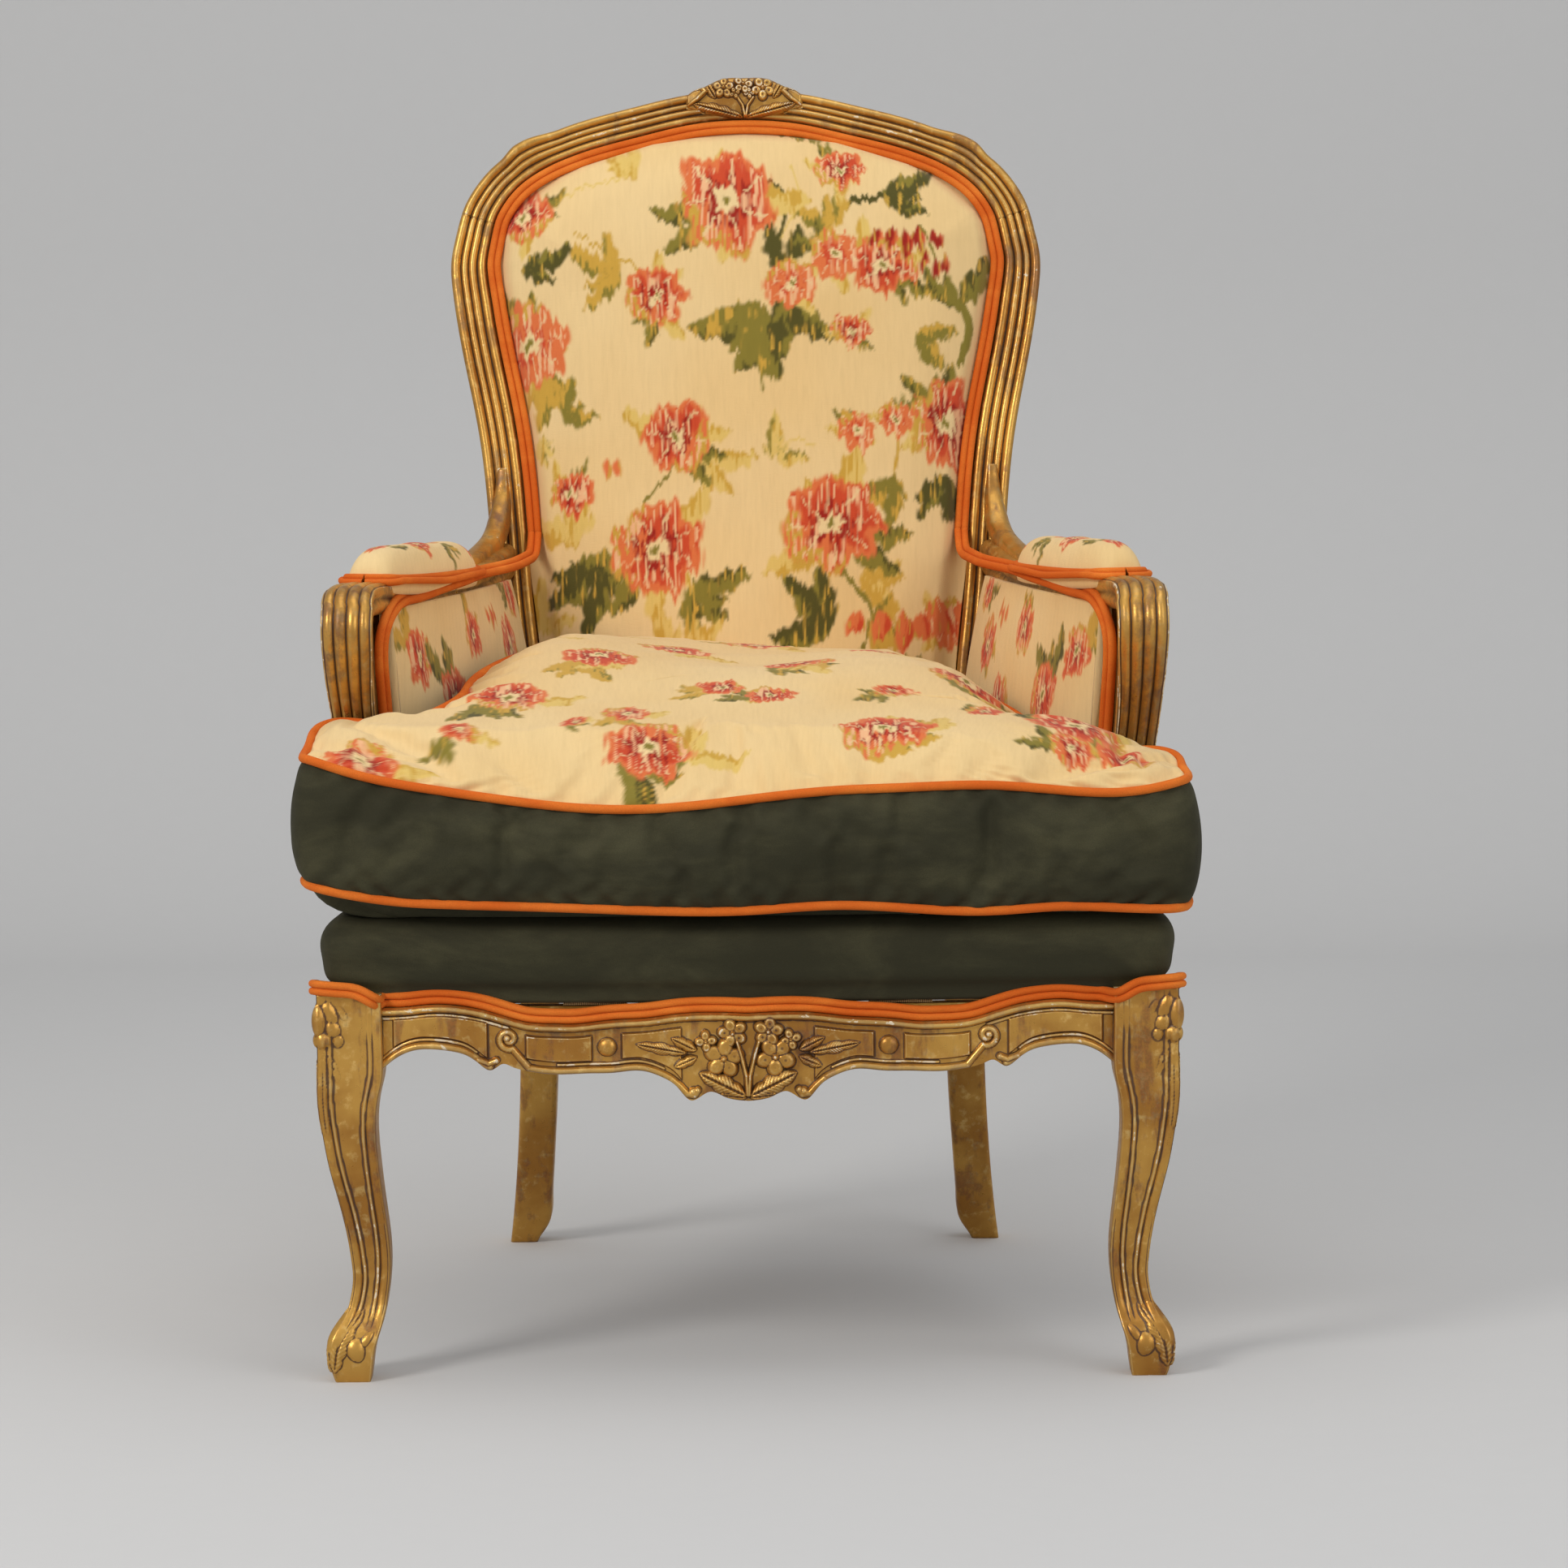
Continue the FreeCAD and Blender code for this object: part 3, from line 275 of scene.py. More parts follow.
def carve_values(piece, spread, radius=0.004):
    """Marks hollows and ridges of a carved piece for its gilding (grime and painted shade in the hollows, a
    painted highlight and chips on the ridges), from the bend of its surface.
    """
    mesh = piece.data
    points = points_of(piece)
    edges = np.empty(len(mesh.edges) * 2, np.int32)
    mesh.edges.foreach_get("vertices", edges)
    edges = edges.reshape(-1, 2)
    normals = np.empty(len(points) * 3, np.float32)
    mesh.vertices.foreach_get("normal", normals)
    normals = normals.reshape(-1, 3)
    count = np.bincount(edges.reshape(-1), minlength=len(points)).astype(float)
    count = np.maximum(count, 1)
    run = points[edges[:, 1]] - points[edges[:, 0]]
    length = np.maximum((run**2).sum(1), 1e-10)
    bend = np.zeros(len(points))
    np.add.at(bend, edges[:, 0], 2 * (run * normals[edges[:, 0]]).sum(1) / length)
    np.add.at(bend, edges[:, 1], -2 * (run * normals[edges[:, 1]]).sum(1) / length)
    bend = np.clip(bend / count * radius, -1.5, 1.5)
    for _ in range(spread):
        near = np.zeros(len(points))
        np.add.at(near, edges[:, 0], bend[edges[:, 1]])
        np.add.at(near, edges[:, 1], bend[edges[:, 0]])
        bend = bend * 0.5 + near / count * 0.5
    give(piece, "hollow", np.clip(bend * 1.2 - 0.06, 0, 1))
    give(piece, "ridge", np.clip(-bend * 0.9 - 0.25, 0, 1))


def frames_along(places, out):
    """Across and lift directions at each place of a path whose upper side faces out."""
    direction = unit(np.gradient(places, axis=0))
    across = unit(np.cross(direction, out))
    return across, unit(np.cross(across, direction))


def swept(places, across, lift, profile):
    """Sections of a profile, one for all places or one each, along a path."""
    profile = np.asarray(profile, float)
    if profile.ndim == 2:
        profile = np.broadcast_to(profile, (len(places),) + profile.shape)
    return places[:, None] + across[:, None] * profile[..., :1] + lift[:, None] * profile[..., 1:]


def tube(places, radius, sides=10, closed=False):
    """A round cord along a path."""
    places = np.asarray(places, float)
    if closed:
        direction = unit(np.roll(places, -1, axis=0) - np.roll(places, 1, axis=0))
    else:
        direction = unit(np.gradient(places, axis=0))
    guide = np.where(np.abs(direction[:, 2:]) > 0.9, RIGHT, UP)
    across = unit(np.cross(direction, guide))
    lift = np.cross(across, direction)
    turn = np.arange(sides) * 2 * math.pi / sides
    radius = np.broadcast_to(np.asarray(radius, float), (len(places),))
    ring = np.stack([np.cos(turn), np.sin(turn)], axis=-1)[None] * radius[:, None, None]
    grid = swept(places, across, lift, ring)
    if closed:
        points = grid.reshape(-1, 3)
        faces = sheet_faces(len(places) + 1, sides, wrap=True) % len(points)
        return outward(points, [faces])
    return tube_patch(grid)


# Materials

def srgb(red, green, blue):
    """A colour written as on a screen, 0 to 255, in the shader's own scale."""
    values = np.array([red, green, blue], float) / 255
    return tuple(np.where(values <= 0.04045, values / 12.92, ((values + 0.055) / 1.055) ** 2.4))


class Nodes:
    """Short calls for building one material."""

    def __init__(self, name):
        self.material = bpy.data.materials.new(name)
        self.material.use_nodes = True
        self.tree = self.material.node_tree
        self.shader = self.tree.nodes["Principled BSDF"]
        self.place = self.tree.nodes.new("ShaderNodeTexCoord").outputs["Object"]

    def set(self, **settings):
        for key, value in settings.items():
            self.link(value, self.shader.inputs[key.replace("_", " ")])

    def link(self, value, socket):
        if isinstance(value, bpy.types.NodeSocket):
            self.tree.links.new(value, socket)
        else:
            socket.default_value = value + (1.0,) if isinstance(value, tuple) else value

    def stretched(self, x, y, z):
        node = self.tree.nodes.new("ShaderNodeMapping")
        self.tree.links.new(self.place, node.inputs["Vector"])
        node.inputs["Scale"].default_value = (x, y, z)
        return node.outputs["Vector"]

    def texture(self, kind, place, **settings):
        node = self.tree.nodes.new("ShaderNodeTex" + kind)
        self.tree.links.new(place or self.place, node.inputs["Vector"])
        for key, value in settings.items():
            node.inputs[key].default_value = value
        return node

    def noise(self, scale, detail=3.0, rough=0.5, place=None, twist=0.0):
        node = self.texture("Noise", place, Scale=scale, Detail=detail, Roughness=rough, Distortion=twist)
        return node.outputs["Fac"]

    def cells(self, scale, place):
        return self.texture("Voronoi", place, Scale=scale).outputs["Distance"]

    def wave(self, scale, axis, twist):
        node = self.texture("Wave", None, Scale=scale, Distortion=twist, Detail=1.0)
        node.bands_direction = axis
        return node.outputs["Fac"]

    def given(self, name, output="Fac"):
        """A value or a colour that comes with the piece."""
        node = self.tree.nodes.new("ShaderNodeAttribute")
        node.attribute_name = name
        return node.outputs[output]

    def plus(self, first, second):
        return self.maths("ADD", first, second)

    def times(self, first, second):
        return self.maths("MULTIPLY", first, second)

    def less(self, first, second):
        return self.maths("SUBTRACT", first, second)

    def maths(self, kind, first, second=0.0, clamp=False):
        node = self.tree.nodes.new("ShaderNodeMath")
        node.operation = kind
        node.use_clamp = clamp
        self.link(first, node.inputs[0])
        self.link(second, node.inputs[1])
        return node.outputs["Value"]

    def step(self, value, low, high, to_low=0.0, to_high=1.0):
        node = self.tree.nodes.new("ShaderNodeMapRange")
        node.interpolation_type = "SMOOTHSTEP"
        self.link(value, node.inputs["Value"])
        for key, number in (("From Min", low), ("From Max", high), ("To Min", to_low), ("To Max", to_high)):
            node.inputs[key].default_value = number
        return node.outputs["Result"]

    def mix(self, share, first, second, kind="MIX"):
        node = self.tree.nodes.new("ShaderNodeMix")
        node.data_type = "RGBA"
        node.blend_type = kind
        self.link(share, node.inputs["Factor"])
        self.link(first, node.inputs["A"])
        self.link(second, node.inputs["B"])
        return node.outputs["Result"]

    def bump(self, height, depth, strength=1.0, normal=None):
        node = self.tree.nodes.new("ShaderNodeBump")
        self.link(height, node.inputs["Height"])
        node.inputs["Distance"].default_value = depth
        node.inputs["Strength"].default_value = strength
        if normal is not None:
            self.tree.links.new(normal, node.inputs["Normal"])
        return node.outputs["Normal"]


def gilded(name, carved=True, worn=1.0, patina=0.0):
    """Old water gilding: gold leaf over red bole, dark with grime and painted shade in the hollows, a painted
    highlight on the ridges, chipped to gesso on the ridges.
    """
    n = Nodes(name)
    large = n.noise(11, 4, 0.6)
    small = n.noise(95, 5, 0.65)
    fine = n.noise(480, 3, 0.6)
    streak = n.noise(55, 4, 0.6, n.stretched(1, 1, 0.25))
    gold = n.mix(n.step(large, 0.36, 0.66), srgb(214, 164, 80), srgb(176, 122, 52))
    gold = n.mix(n.step(small, 0.52, 0.74), gold, srgb(236, 196, 118))
    bole = n.mix(n.step(fine, 0.4, 0.6), srgb(128, 66, 28), srgb(92, 50, 24))
    rubbed = n.step(n.plus(streak, n.times(small, 0.35)), 0.70 + 0.06 * (1 - worn), 0.84)
    colour = n.mix(n.times(rubbed, 0.62), gold, bole)
    metal = n.less(0.72, n.times(rubbed, 0.45))
    if carved:
        # Grime and painted shade: the hollows, and noisy patches beside them, darken to dark brown.
        hollow = n.given("hollow")
        dull = n.plus(n.times(n.less(small, 0.5), 0.7), patina)
        dull = n.plus(dull, n.times(n.step(large, 0.45, 0.62), 0.12))
        grime_and_shade = n.step(n.plus(hollow, dull), 0.08, 0.5)
        colour = n.mix(n.times(grime_and_shade, 0.9), colour, srgb(70, 38, 18))
        ridge = n.given("ridge")
        # Painted highlight: the ridges lighten toward pale gold.
        colour = n.mix(n.times(n.step(ridge, 0.15, 0.9), 0.45), colour, srgb(244, 212, 142))
        chip = n.plus(n.times(ridge, 0.2 * worn), n.noise(62, 6, 0.72, None, 0.5))
        chip = n.step(chip, 0.715, 0.755)
        colour = n.mix(n.times(chip, 0.85), colour, srgb(232, 218, 192))
        metal = n.maths("MULTIPLY", metal, n.less(1.0, n.maths("MAXIMUM", grime_and_shade, chip)), True)
    crack = n.step(n.cells(120, n.stretched(1, 1, 0.5)), 0.0, 0.05, 1.0, 0.0)
    normal = n.bump(n.plus(small, n.times(fine, 0.5)), 0.0006, 0.45)
    normal = n.bump(crack, 0.0002, 0.25, normal)
    n.set(Base_Color=colour, Metallic=metal, Roughness=n.step(small, 0.3, 0.7, 0.27, 0.46), Normal=normal)
    return n.material


def velvet(name, dark, light, painted_sheen=1.0):
    """Cotton velvet with painted sheen: lighter patches where the pile lies another way."""
    n = Nodes(name)
    lay = n.noise(9, 5, 0.55, n.stretched(0.7, 1, 1.6), 0.8)
    spot = n.noise(60, 3, 0.6, n.stretched(0.5, 1, 1.3))
    fine = n.noise(1500, 2, 0.5)
    # Painted sheen: the lighter colour is laid in over these patches.
    share = n.step(n.plus(lay, n.times(spot, 0.22)), 0.5, 0.86)
    colour = n.mix(n.times(share, painted_sheen), srgb(*dark), srgb(*light))
    colour = n.mix(n.times(n.step(fine, 0.3, 0.7), 0.25), colour, srgb(*[c * 0.62 for c in dark]))
    n.set(Base_Color=colour, Roughness=0.84, Sheen_Weight=0.22, Sheen_Roughness=0.35, Sheen_Tint=srgb(*light))
    n.set(Specular_IOR_Level=0.25)
    n.set(Normal=n.bump(n.plus(n.times(spot, 0.6), n.times(fine, 0.35)), 0.0008, 0.5))
    return n.material


def printed(name):
    """Slubby linen and cotton cloth; its flowers come with the piece, its threads from here."""
    n = Nodes(name)
    warp = n.wave(420, "X", 1.2)
    weft = n.noise(900, 2, 0.5, n.stretched(0.14, 0.5, 1))
    slub = n.noise(300, 3, 0.6, n.stretched(1, 0.12, 0.12))
    shade = n.plus(n.times(warp, 0.35), n.times(slub, 0.5))
    colour = n.mix(n.step(shade, 0.3, 0.75, 0.0, 0.16), n.given("print", "Color"), srgb(118, 92, 60),
                   "MULTIPLY")
    height = n.plus(n.times(warp, 0.5), n.times(weft, 0.8))
    n.set(Base_Color=colour, Roughness=0.86, Sheen_Weight=0.12, Sheen_Roughness=0.5, Specular_IOR_Level=0.2)
    n.set(Normal=n.bump(height, 0.0004, 0.5, n.bump(slub, 0.0006, 0.35)))
    return n.material


def beech(name):
    n = Nodes(name)
    grain = n.noise(70, 5, 0.6, n.stretched(0.15, 1, 1), 1.5)
    pore = n.noise(700, 2, 0.5, n.stretched(0.06, 1, 1))
    colour = n.mix(n.step(grain, 0.35, 0.7), srgb(184, 142, 98), srgb(148, 106, 66))
    colour = n.mix(n.step(pore, 0.62, 0.72, 0.0, 0.5), colour, srgb(96, 64, 38))
    n.set(Base_Color=colour, Roughness=n.step(grain, 0.3, 0.7, 0.55, 0.72), Normal=n.bump(pore, 0.0004, 0.4))
    return n.material


def jute(name):
    n = Nodes(name)
    warp = n.wave(190, "X", 0.8)
    weft = n.wave(190, "Y", 0.8)
    weave = n.times(warp, weft)
    colour = n.mix(n.step(weave, 0.1, 0.6), srgb(104, 80, 50), srgb(176, 144, 98))
    n.set(Base_Color=colour, Roughness=0.9, Normal=n.bump(weave, 0.0008, 0.6))
    return n.material


GILT = gilded("gilt_carved")
GILT_DARK = gilded("gilt_arms", worn=1.5, patina=0.14)
GILT_PLAIN = gilded("gilt_plain", carved=False)
GREEN = velvet("green_velvet", (50, 48, 31), (76, 73, 50))
ORANGE = velvet("orange_velvet", (218, 100, 24), (246, 142, 52), 0.8)
CLOTH = printed("printed_cloth")
BEECH = beech("bare_beech")
JUTE = jute("jute_webbing")


def carved(name, patch, side="", material=GILT, spread=2, part=None):
    """A gilded piece that stands for the CAD part of its own or another name."""
    end = "_" + side if side else ""
    piece = build(name + "_carved" + end, patch, material, stands_for=[(part or name) + end])
    carve_values(piece, spread)


def clothed(name, patch, tint, stands_for):
    """A piece in the printed cloth, with its colours."""
    return build(name, patch, CLOTH, stands_for=stands_for, values={"print": tint})


def welted(name, patch, stands_for=(), body="chair"):
    """A piece of orange trim."""
    build(name, patch, ORANGE, body, stands_for)


# Main lines of the chair, as in the CAD model

def in_back(x, z, out=0.0):
    """Points on the back frame's leaning front face, or in front of it."""
    x, z, out = np.broadcast_arrays(np.asarray(x, float), np.asarray(z, float), np.asarray(out, float))
    y = BACK_PLANE + (z - RAIL_TOP) * math.tan(LEAN)
    return np.stack([x, y, z], axis=-1) + FORWARD * out[..., None]


RAIL_BACK, RAIL_BOW = 0.006, 0.014


def rail_face(x):
    """Depth of the front rail's bowed face at a width."""
    share = np.minimum(1.0, np.abs(x) / BLOCK_IN)
    return -(KNEE_FRONT - RAIL_BACK + RAIL_BOW * (1 - share * share))


def side_face(y):
    """Width of the side rail's outer face at a depth."""
    share = (y + KNEE_FRONT - LEG_BLOCK / 2) / (BACK_PLANE + 0.017 + KNEE_FRONT - LEG_BLOCK / 2)
    return KNEE_OUT - RAIL_BACK + (REAR_OUT - 0.003 - KNEE_OUT + RAIL_BACK) * share


OUTLINE = np.array([
    (0.207, 0.3726), (0.213, 0.4815), (0.2245, 0.590), (0.230, 0.663), (0.238, 0.732), (0.252, 0.803),
    (0.2603, 0.855), (0.2615, 0.885), (0.2575, 0.905), (0.2495, 0.932), (0.241, 0.947), (0.226, 0.965),
    (0.205, 0.981), (0.178, 0.9945), (0.153, 1.004), (0.099, 1.0185), (0.052, 1.029), (0.0, 1.033)])
CREST_SHARE = 0.66


def back_outline(count, first=0.0, last=1.0):
    """Places and ways inward along the right half of the back's outer edge."""
    full = np.concatenate([OUTLINE, OUTLINE[-2::-1] * np.array([-1, 1])])
    knots = lengths(full)
    half = knots[len(OUTLINE) - 1]
    at = half * np.linspace(first, last, count)
    flat = cubic(knots, full, at)
    step = 0.0005
    run = cubic(knots, full, at + step) - cubic(knots, full, at - step)
    places = in_back(flat[:, 0], flat[:, 1])
    direction = unit(run[:, :1] * RIGHT + run[:, 1:] * BACK_UP)
    return places, unit(np.cross(FORWARD, direction))


def shoulder(share):
    """How far the outer bead steps out where the crest meets the stile."""
    return 0.0042 * (eased(0.728, 0.752, share) * (1 - eased(0.758, 0.80, share)))


def face_width(share):
    return straight([(CREST_SHARE - 0.1, 0.033), (CREST_SHARE + 0.12, 0.027)], share)


def ribs(at, bumps):
    """Height across a moulding made of half-round ribs: (middle, half width, height) each."""
    height = np.zeros_like(at)
    for middle, half, tall in bumps:
        height = np.maximum(height, tall * np.sqrt(np.clip(1 - ((at - middle) / half) ** 2, 0, 1)))
    return height


# Carving: heights over a flat ground, in metres

def dome(x, z, cx, cz, a, b, turn, tall):
    """Height of an oval boss."""
    du = (x - cx) * math.cos(turn) + (z - cz) * math.sin(turn)
    dv = (z - cz) * math.cos(turn) - (x - cx) * math.sin(turn)
    return tall * np.sqrt(np.clip(1 - (du / a) ** 2 - (dv / b) ** 2, 0, 1))


def near_line(x, z, points):
    """Distance from every place to a polyline, and the share of the line at the nearest point."""
    points = np.asarray(points, float)
    run = lengths(points)
    best = np.full(np.shape(x), 1e9)
    share = np.zeros(np.shape(x))
    for number, (start, end) in enumerate(zip(points, points[1:])):
        step = end - start
        size = max(step @ step, 1e-12)
        t = np.clip(((x - start[0]) * step[0] + (z - start[1]) * step[1]) / size, 0, 1)
        gap = np.hypot(x - start[0] - t * step[0], z - start[1] - t * step[1])
        closer = gap < best
        best = np.where(closer, gap, best)
        share = np.where(closer, (run[number] + t * math.sqrt(size)) / run[-1], share)
    return best, share


class Carving:
    """A carved face over the places x, z: each form that is added shows where it stands highest."""

    def __init__(self, x, z):
        self.x, self.z = x, z
        self.height = np.zeros(np.broadcast(x, z).shape)

    def add(self, form):
        self.height = np.maximum(self.height, form)

    def boss(self, cx, cz, a, b, turn, tall):
        self.add(dome(self.x, self.z, cx, cz, a, b, turn, tall))

    def flower(self, cx, cz, size, tall, petals, turn):
        """Open blossom: cupped petals about a button."""
        for number in range(petals):
            angle = turn + number * 2 * math.pi / petals
            px, pz = cx + 0.56 * size * math.cos(angle), cz + 0.56 * size * math.sin(angle)
            high = tall * (0.86 + 0.14 * (number % 2))
            petal = dome(self.x, self.z, px, pz, size * 0.54, size * 0.45, angle, high)
            cup = 0.26 * tall * np.exp(-((self.x - px) ** 2 + (self.z - pz) ** 2) / (size * 0.3) ** 2)
            self.add(petal - cup)
        self.boss(cx, cz, size * 0.2, size * 0.2, 0, tall * 1.18)

    def leaf(self, start, end, wide, tall, lobes):
        """Leaf with a grooved midrib, side veins and a lobed edge."""
        (x0, z0), (x1, z1) = start, end
        length = math.hypot(x1 - x0, z1 - z0)
        along = ((self.x - x0) * (x1 - x0) + (self.z - z0) * (z1 - z0)) / length**2
        side = ((self.z - z0) * (x1 - x0) - (self.x - x0) * (z1 - z0)) / length
        shape = wide * np.sin(math.pi * np.clip(along, 0.0, 1.0)) ** 0.7
        shape = shape * (0.82 + 0.26 * np.abs(np.sin(along * math.pi * lobes))) + 1e-6
        leaf = tall * np.clip(1 - (side / shape) ** 2, 0, 1) ** 0.45 * ((along > 0) & (along < 1))
        leaf -= (leaf > 0) * 0.34 * tall * np.exp(-(side / (wide * 0.13)) ** 2)
        veins = np.abs(np.sin((along * length - np.abs(side) * 0.9) / (wide * 0.42) * math.pi))
        self.add(leaf - (leaf > 0) * 0.12 * tall * (1 - veins) ** 2)

    def rib(self, points, half, tall, thin_ends=False):
        """Half-round rib along a line."""
        gap, share = near_line(self.x, self.z, points)
        width = np.full(np.shape(gap), half)
        if thin_ends:
            width = half * (0.35 + 0.65 * np.sin(math.pi * np.clip(share, 0.02, 0.98)) ** 0.6)
        self.add(tall * (width / half) * np.sqrt(np.clip(1 - (gap / width) ** 2, 0, 1)))

    def panel(self, left, right, low, high, tall):
        """Flat panel with a bevelled edge."""
        rim = np.minimum(np.minimum(self.x - left, right - self.x), np.minimum(self.z - low, high - self.z))
        self.add(tall * np.clip(rim / 0.0011, 0, 1) ** 0.6 * (rim > 0))


def crest_bouquet():
    """Boss of blossoms over two leaves at the middle of the crest, the mouldings' ends curled beside it."""
    reach = 0.052
    x = np.linspace(-reach, reach, 211)
    low = table([(0, 1.0070), (0.012, 1.0075), (0.03, 1.0105), (0.045, 1.0140), (reach, 1.0165)], np.abs(x))
    high = table([(0, 1.0432), (0.014, 1.0436), (0.026, 1.0405), (0.036, 1.0355), (0.045, 1.0325),
                  (reach, 1.0275)], np.abs(x))
    share = np.linspace(0, 1, 111)[:, None]
    z = low + (high - low) * share
    xs = np.broadcast_to(x, z.shape)
    work = Carving(xs, z)
    work.boss(0, 1.0270, 0.060, 0.0175, 0, 0.0042)
    for hand in (-1, 1):
        work.leaf((hand * 0.001, 1.0075), (hand * 0.0455, 1.0195), 0.0062, 0.0088, 4.0)
        work.rib([(hand * 0.050, 1.0190), (hand * 0.042, 1.0240), (hand * 0.035, 1.0305),
                  (hand * 0.0385, 1.0350), (hand * 0.0435, 1.0325)], 0.0026, 0.0095, True)
        work.leaf((hand * 0.0255, 1.0240), (hand * 0.035, 1.0400), 0.0045, 0.0080, 2.0)
    work.rib([(0.0005, 1.0085), (-0.0015, 1.0180), (-0.0060, 1.0250)], 0.0016, 0.0085)
    work.rib([(0.0012, 1.0085), (0.0030, 1.0180), (0.0080, 1.0250)], 0.0016, 0.0085)
    for cx, cz, size, petals, turn in ((-0.0185, 1.0335, 0.0095, 5, 0.3), (0.0165, 1.0330, 0.0105, 5, 0.9),
                                       (-0.0010, 1.0365, 0.0085, 5, 1.3), (-0.0085, 1.0285, 0.0050, 4, 0.4),
                                       (0.0045, 1.0285, 0.0050, 4, 0.1)):
        work.flower(cx, cz, size, 0.0125, petals, turn)
    rim = np.minimum(np.minimum(share, 1 - share) * (high - low)[None], reach - np.abs(xs))
    height = (work.height + 0.0012) * np.clip(rim / 0.0025, 0, 1) ** 0.5 - 0.0035
    return two_sided(in_back(xs, z, height), in_back(xs, z, -0.020))


# Back frame

def frame_profile(face, out=0.0):
    """Section of the moulded back frame: beads and ribs between its edges, and the rebate."""
    at = np.linspace(0, 1, 49)
    top = -0.0078 + ribs(at, [(0.13, 0.145, 0.0070), (0.375, 0.11, 0.0052), (0.60, 0.125, 0.0066),
                              (0.86, 0.145, 0.0062)])
    for groove in (0.265, 0.485, 0.725):
        top -= 0.0007 * np.exp(-((at - groove) / 0.022) ** 2)
    wide = at * face - out * (1 - at) ** 1.5
    points = [(-out * 0.4, -0.034), (-out * 0.6, -0.024), (-out, -0.0145)] + list(zip(wide, top))
    points += [(face, -0.011), (face + 0.006, -0.011), (face + 0.013, -0.011), (face + 0.013, -0.034)]
    return np.array(points)


def moulded(count, first, last):
    places, inward = back_outline(count, first, last)
    share = np.linspace(first, last, count)
    profiles = np.array([frame_profile(face_width(at), out) for at, out in zip(share, shoulder(share))])
    return swept(places, inward, np.broadcast_to(FORWARD, places.shape), profiles)


def rounded_square(side, soft, count=7):
    """Corners of a square section whose edges are eased."""
    half = side / 2
    points = []
    for number, (sx, sy) in enumerate(((1, -1), (1, 1), (-1, 1), (-1, -1))):
        start = -math.pi / 2 + number * math.pi / 2
        for turn in np.linspace(start, start + math.pi / 2, count):
            points.append((sx * (half - soft) + soft * math.cos(turn),
                           sy * (half - soft) + soft * math.sin(turn)))
    return np.array(points)


def rear_leg_patch():
    heights = np.concatenate([np.linspace(0, 0.06, 26), np.linspace(0.065, 0.30, 60)])
    share = heights / RAIL_TOP
    outer = 0.204 + 0.0165 * (1 - share) ** 2.6
    width = straight([(0, 0.0235), (0.006, 0.026), (0.018, 0.0335), (0.03, 0.0345), (0.05, 0.033),
                      (0.09, 0.0325),
                      (0.3, 0.034)], heights)
    width = np.convolve(np.pad(width, 3, "edge"), np.ones(7) / 7, "valid")
    y = BACK_PLANE + 0.096 * (1 - share) ** 2 + width / 2
    heel = 0.006 * np.exp(-((heights - 0.022) / 0.016) ** 2)
    rings = []
    for z, x_out, wide, depth, kick in zip(heights, outer, width, y, heel):
        section = rounded_square(wide, wide * 0.16)
        section[:, 1] += np.where(section[:, 1] > 0, kick, 0)
        rings.append(np.column_stack([x_out - wide / 2 + section[:, 0], depth + section[:, 1],
                                      np.full(len(section), z)]))
    top = rings[-1]
    for lift in (0.05, 0.11):
        rings.append(top + BACK_UP * lift)
    return tube_patch(np.array(rings))


def make_back_frame():
    stile = merged([tube_patch(moulded(230, 0.0, CREST_SHARE)), rear_leg_patch()])
    for side, form in both(stile):
        carved("back_stile", form, side)
    carved("crest_rail", merged([tube_patch(whole(moulded(200, CREST_SHARE, 1.0))), crest_bouquet()]))


# Front legs

LEG_EDGES = np.array([
    (0.0, 0.3290, 0.3015), (0.006, 0.3310, 0.3005), (0.014, 0.3323, 0.2995), (0.027, 0.3331, 0.2975),
    (0.040, 0.3292, 0.2935), (0.053, 0.3212, 0.2900), (0.0665, 0.3170, 0.2876), (0.080, 0.3153, 0.2860),
    (0.093, 0.3160, 0.2853), (0.119, 0.3196, 0.2866), (0.145, 0.3250, 0.2895), (0.171, 0.3310, 0.2920),
    (0.197, 0.3353, 0.2937), (0.216, 0.3376, 0.2932), (0.229, 0.3384, 0.2912), (0.240, 0.3385, 0.2886),
    (0.250, 0.3385, 0.2875), (0.270, 0.3385, 0.2875), (0.311, 0.3385, 0.2875)])


FACE_POINTS = 49


def leg_section(width, bead, sink):
    """Front leg section: beads at the edges of the two outer faces and a sunk panel between them."""
    half = width / 2
    across = np.linspace(-half, half, FACE_POINTS)
    from_edge = half - np.abs(across)
    depth = sink * (1 - np.sqrt(np.clip(1 - ((from_edge - bead * 0.62) / (bead * 0.75)) ** 2, 0, 1)))
    second = sink * 0.7 * np.sqrt(np.clip(1 - ((from_edge - bead * 1.75) / (bead * 0.32)) ** 2, 0, 1))
    depth = np.where(from_edge > bead * 1.35, depth - second, depth)
    depth = np.where(from_edge < bead * 0.25, bead * 0.3 * (1 - from_edge / (bead * 0.25)) ** 2, depth)
    front = np.column_stack([across, -half + depth])
    outer = np.column_stack([half - depth, across])
    back = [(half - 0.004, half), (half * 0.3, half), (-half * 0.3, half), (4e-3 - half, half),
            (-half, half - 0.004),
            (-half, half * 0.3), (-half, -half * 0.3)]
    return np.concatenate([front, outer[1:], np.array(back)])


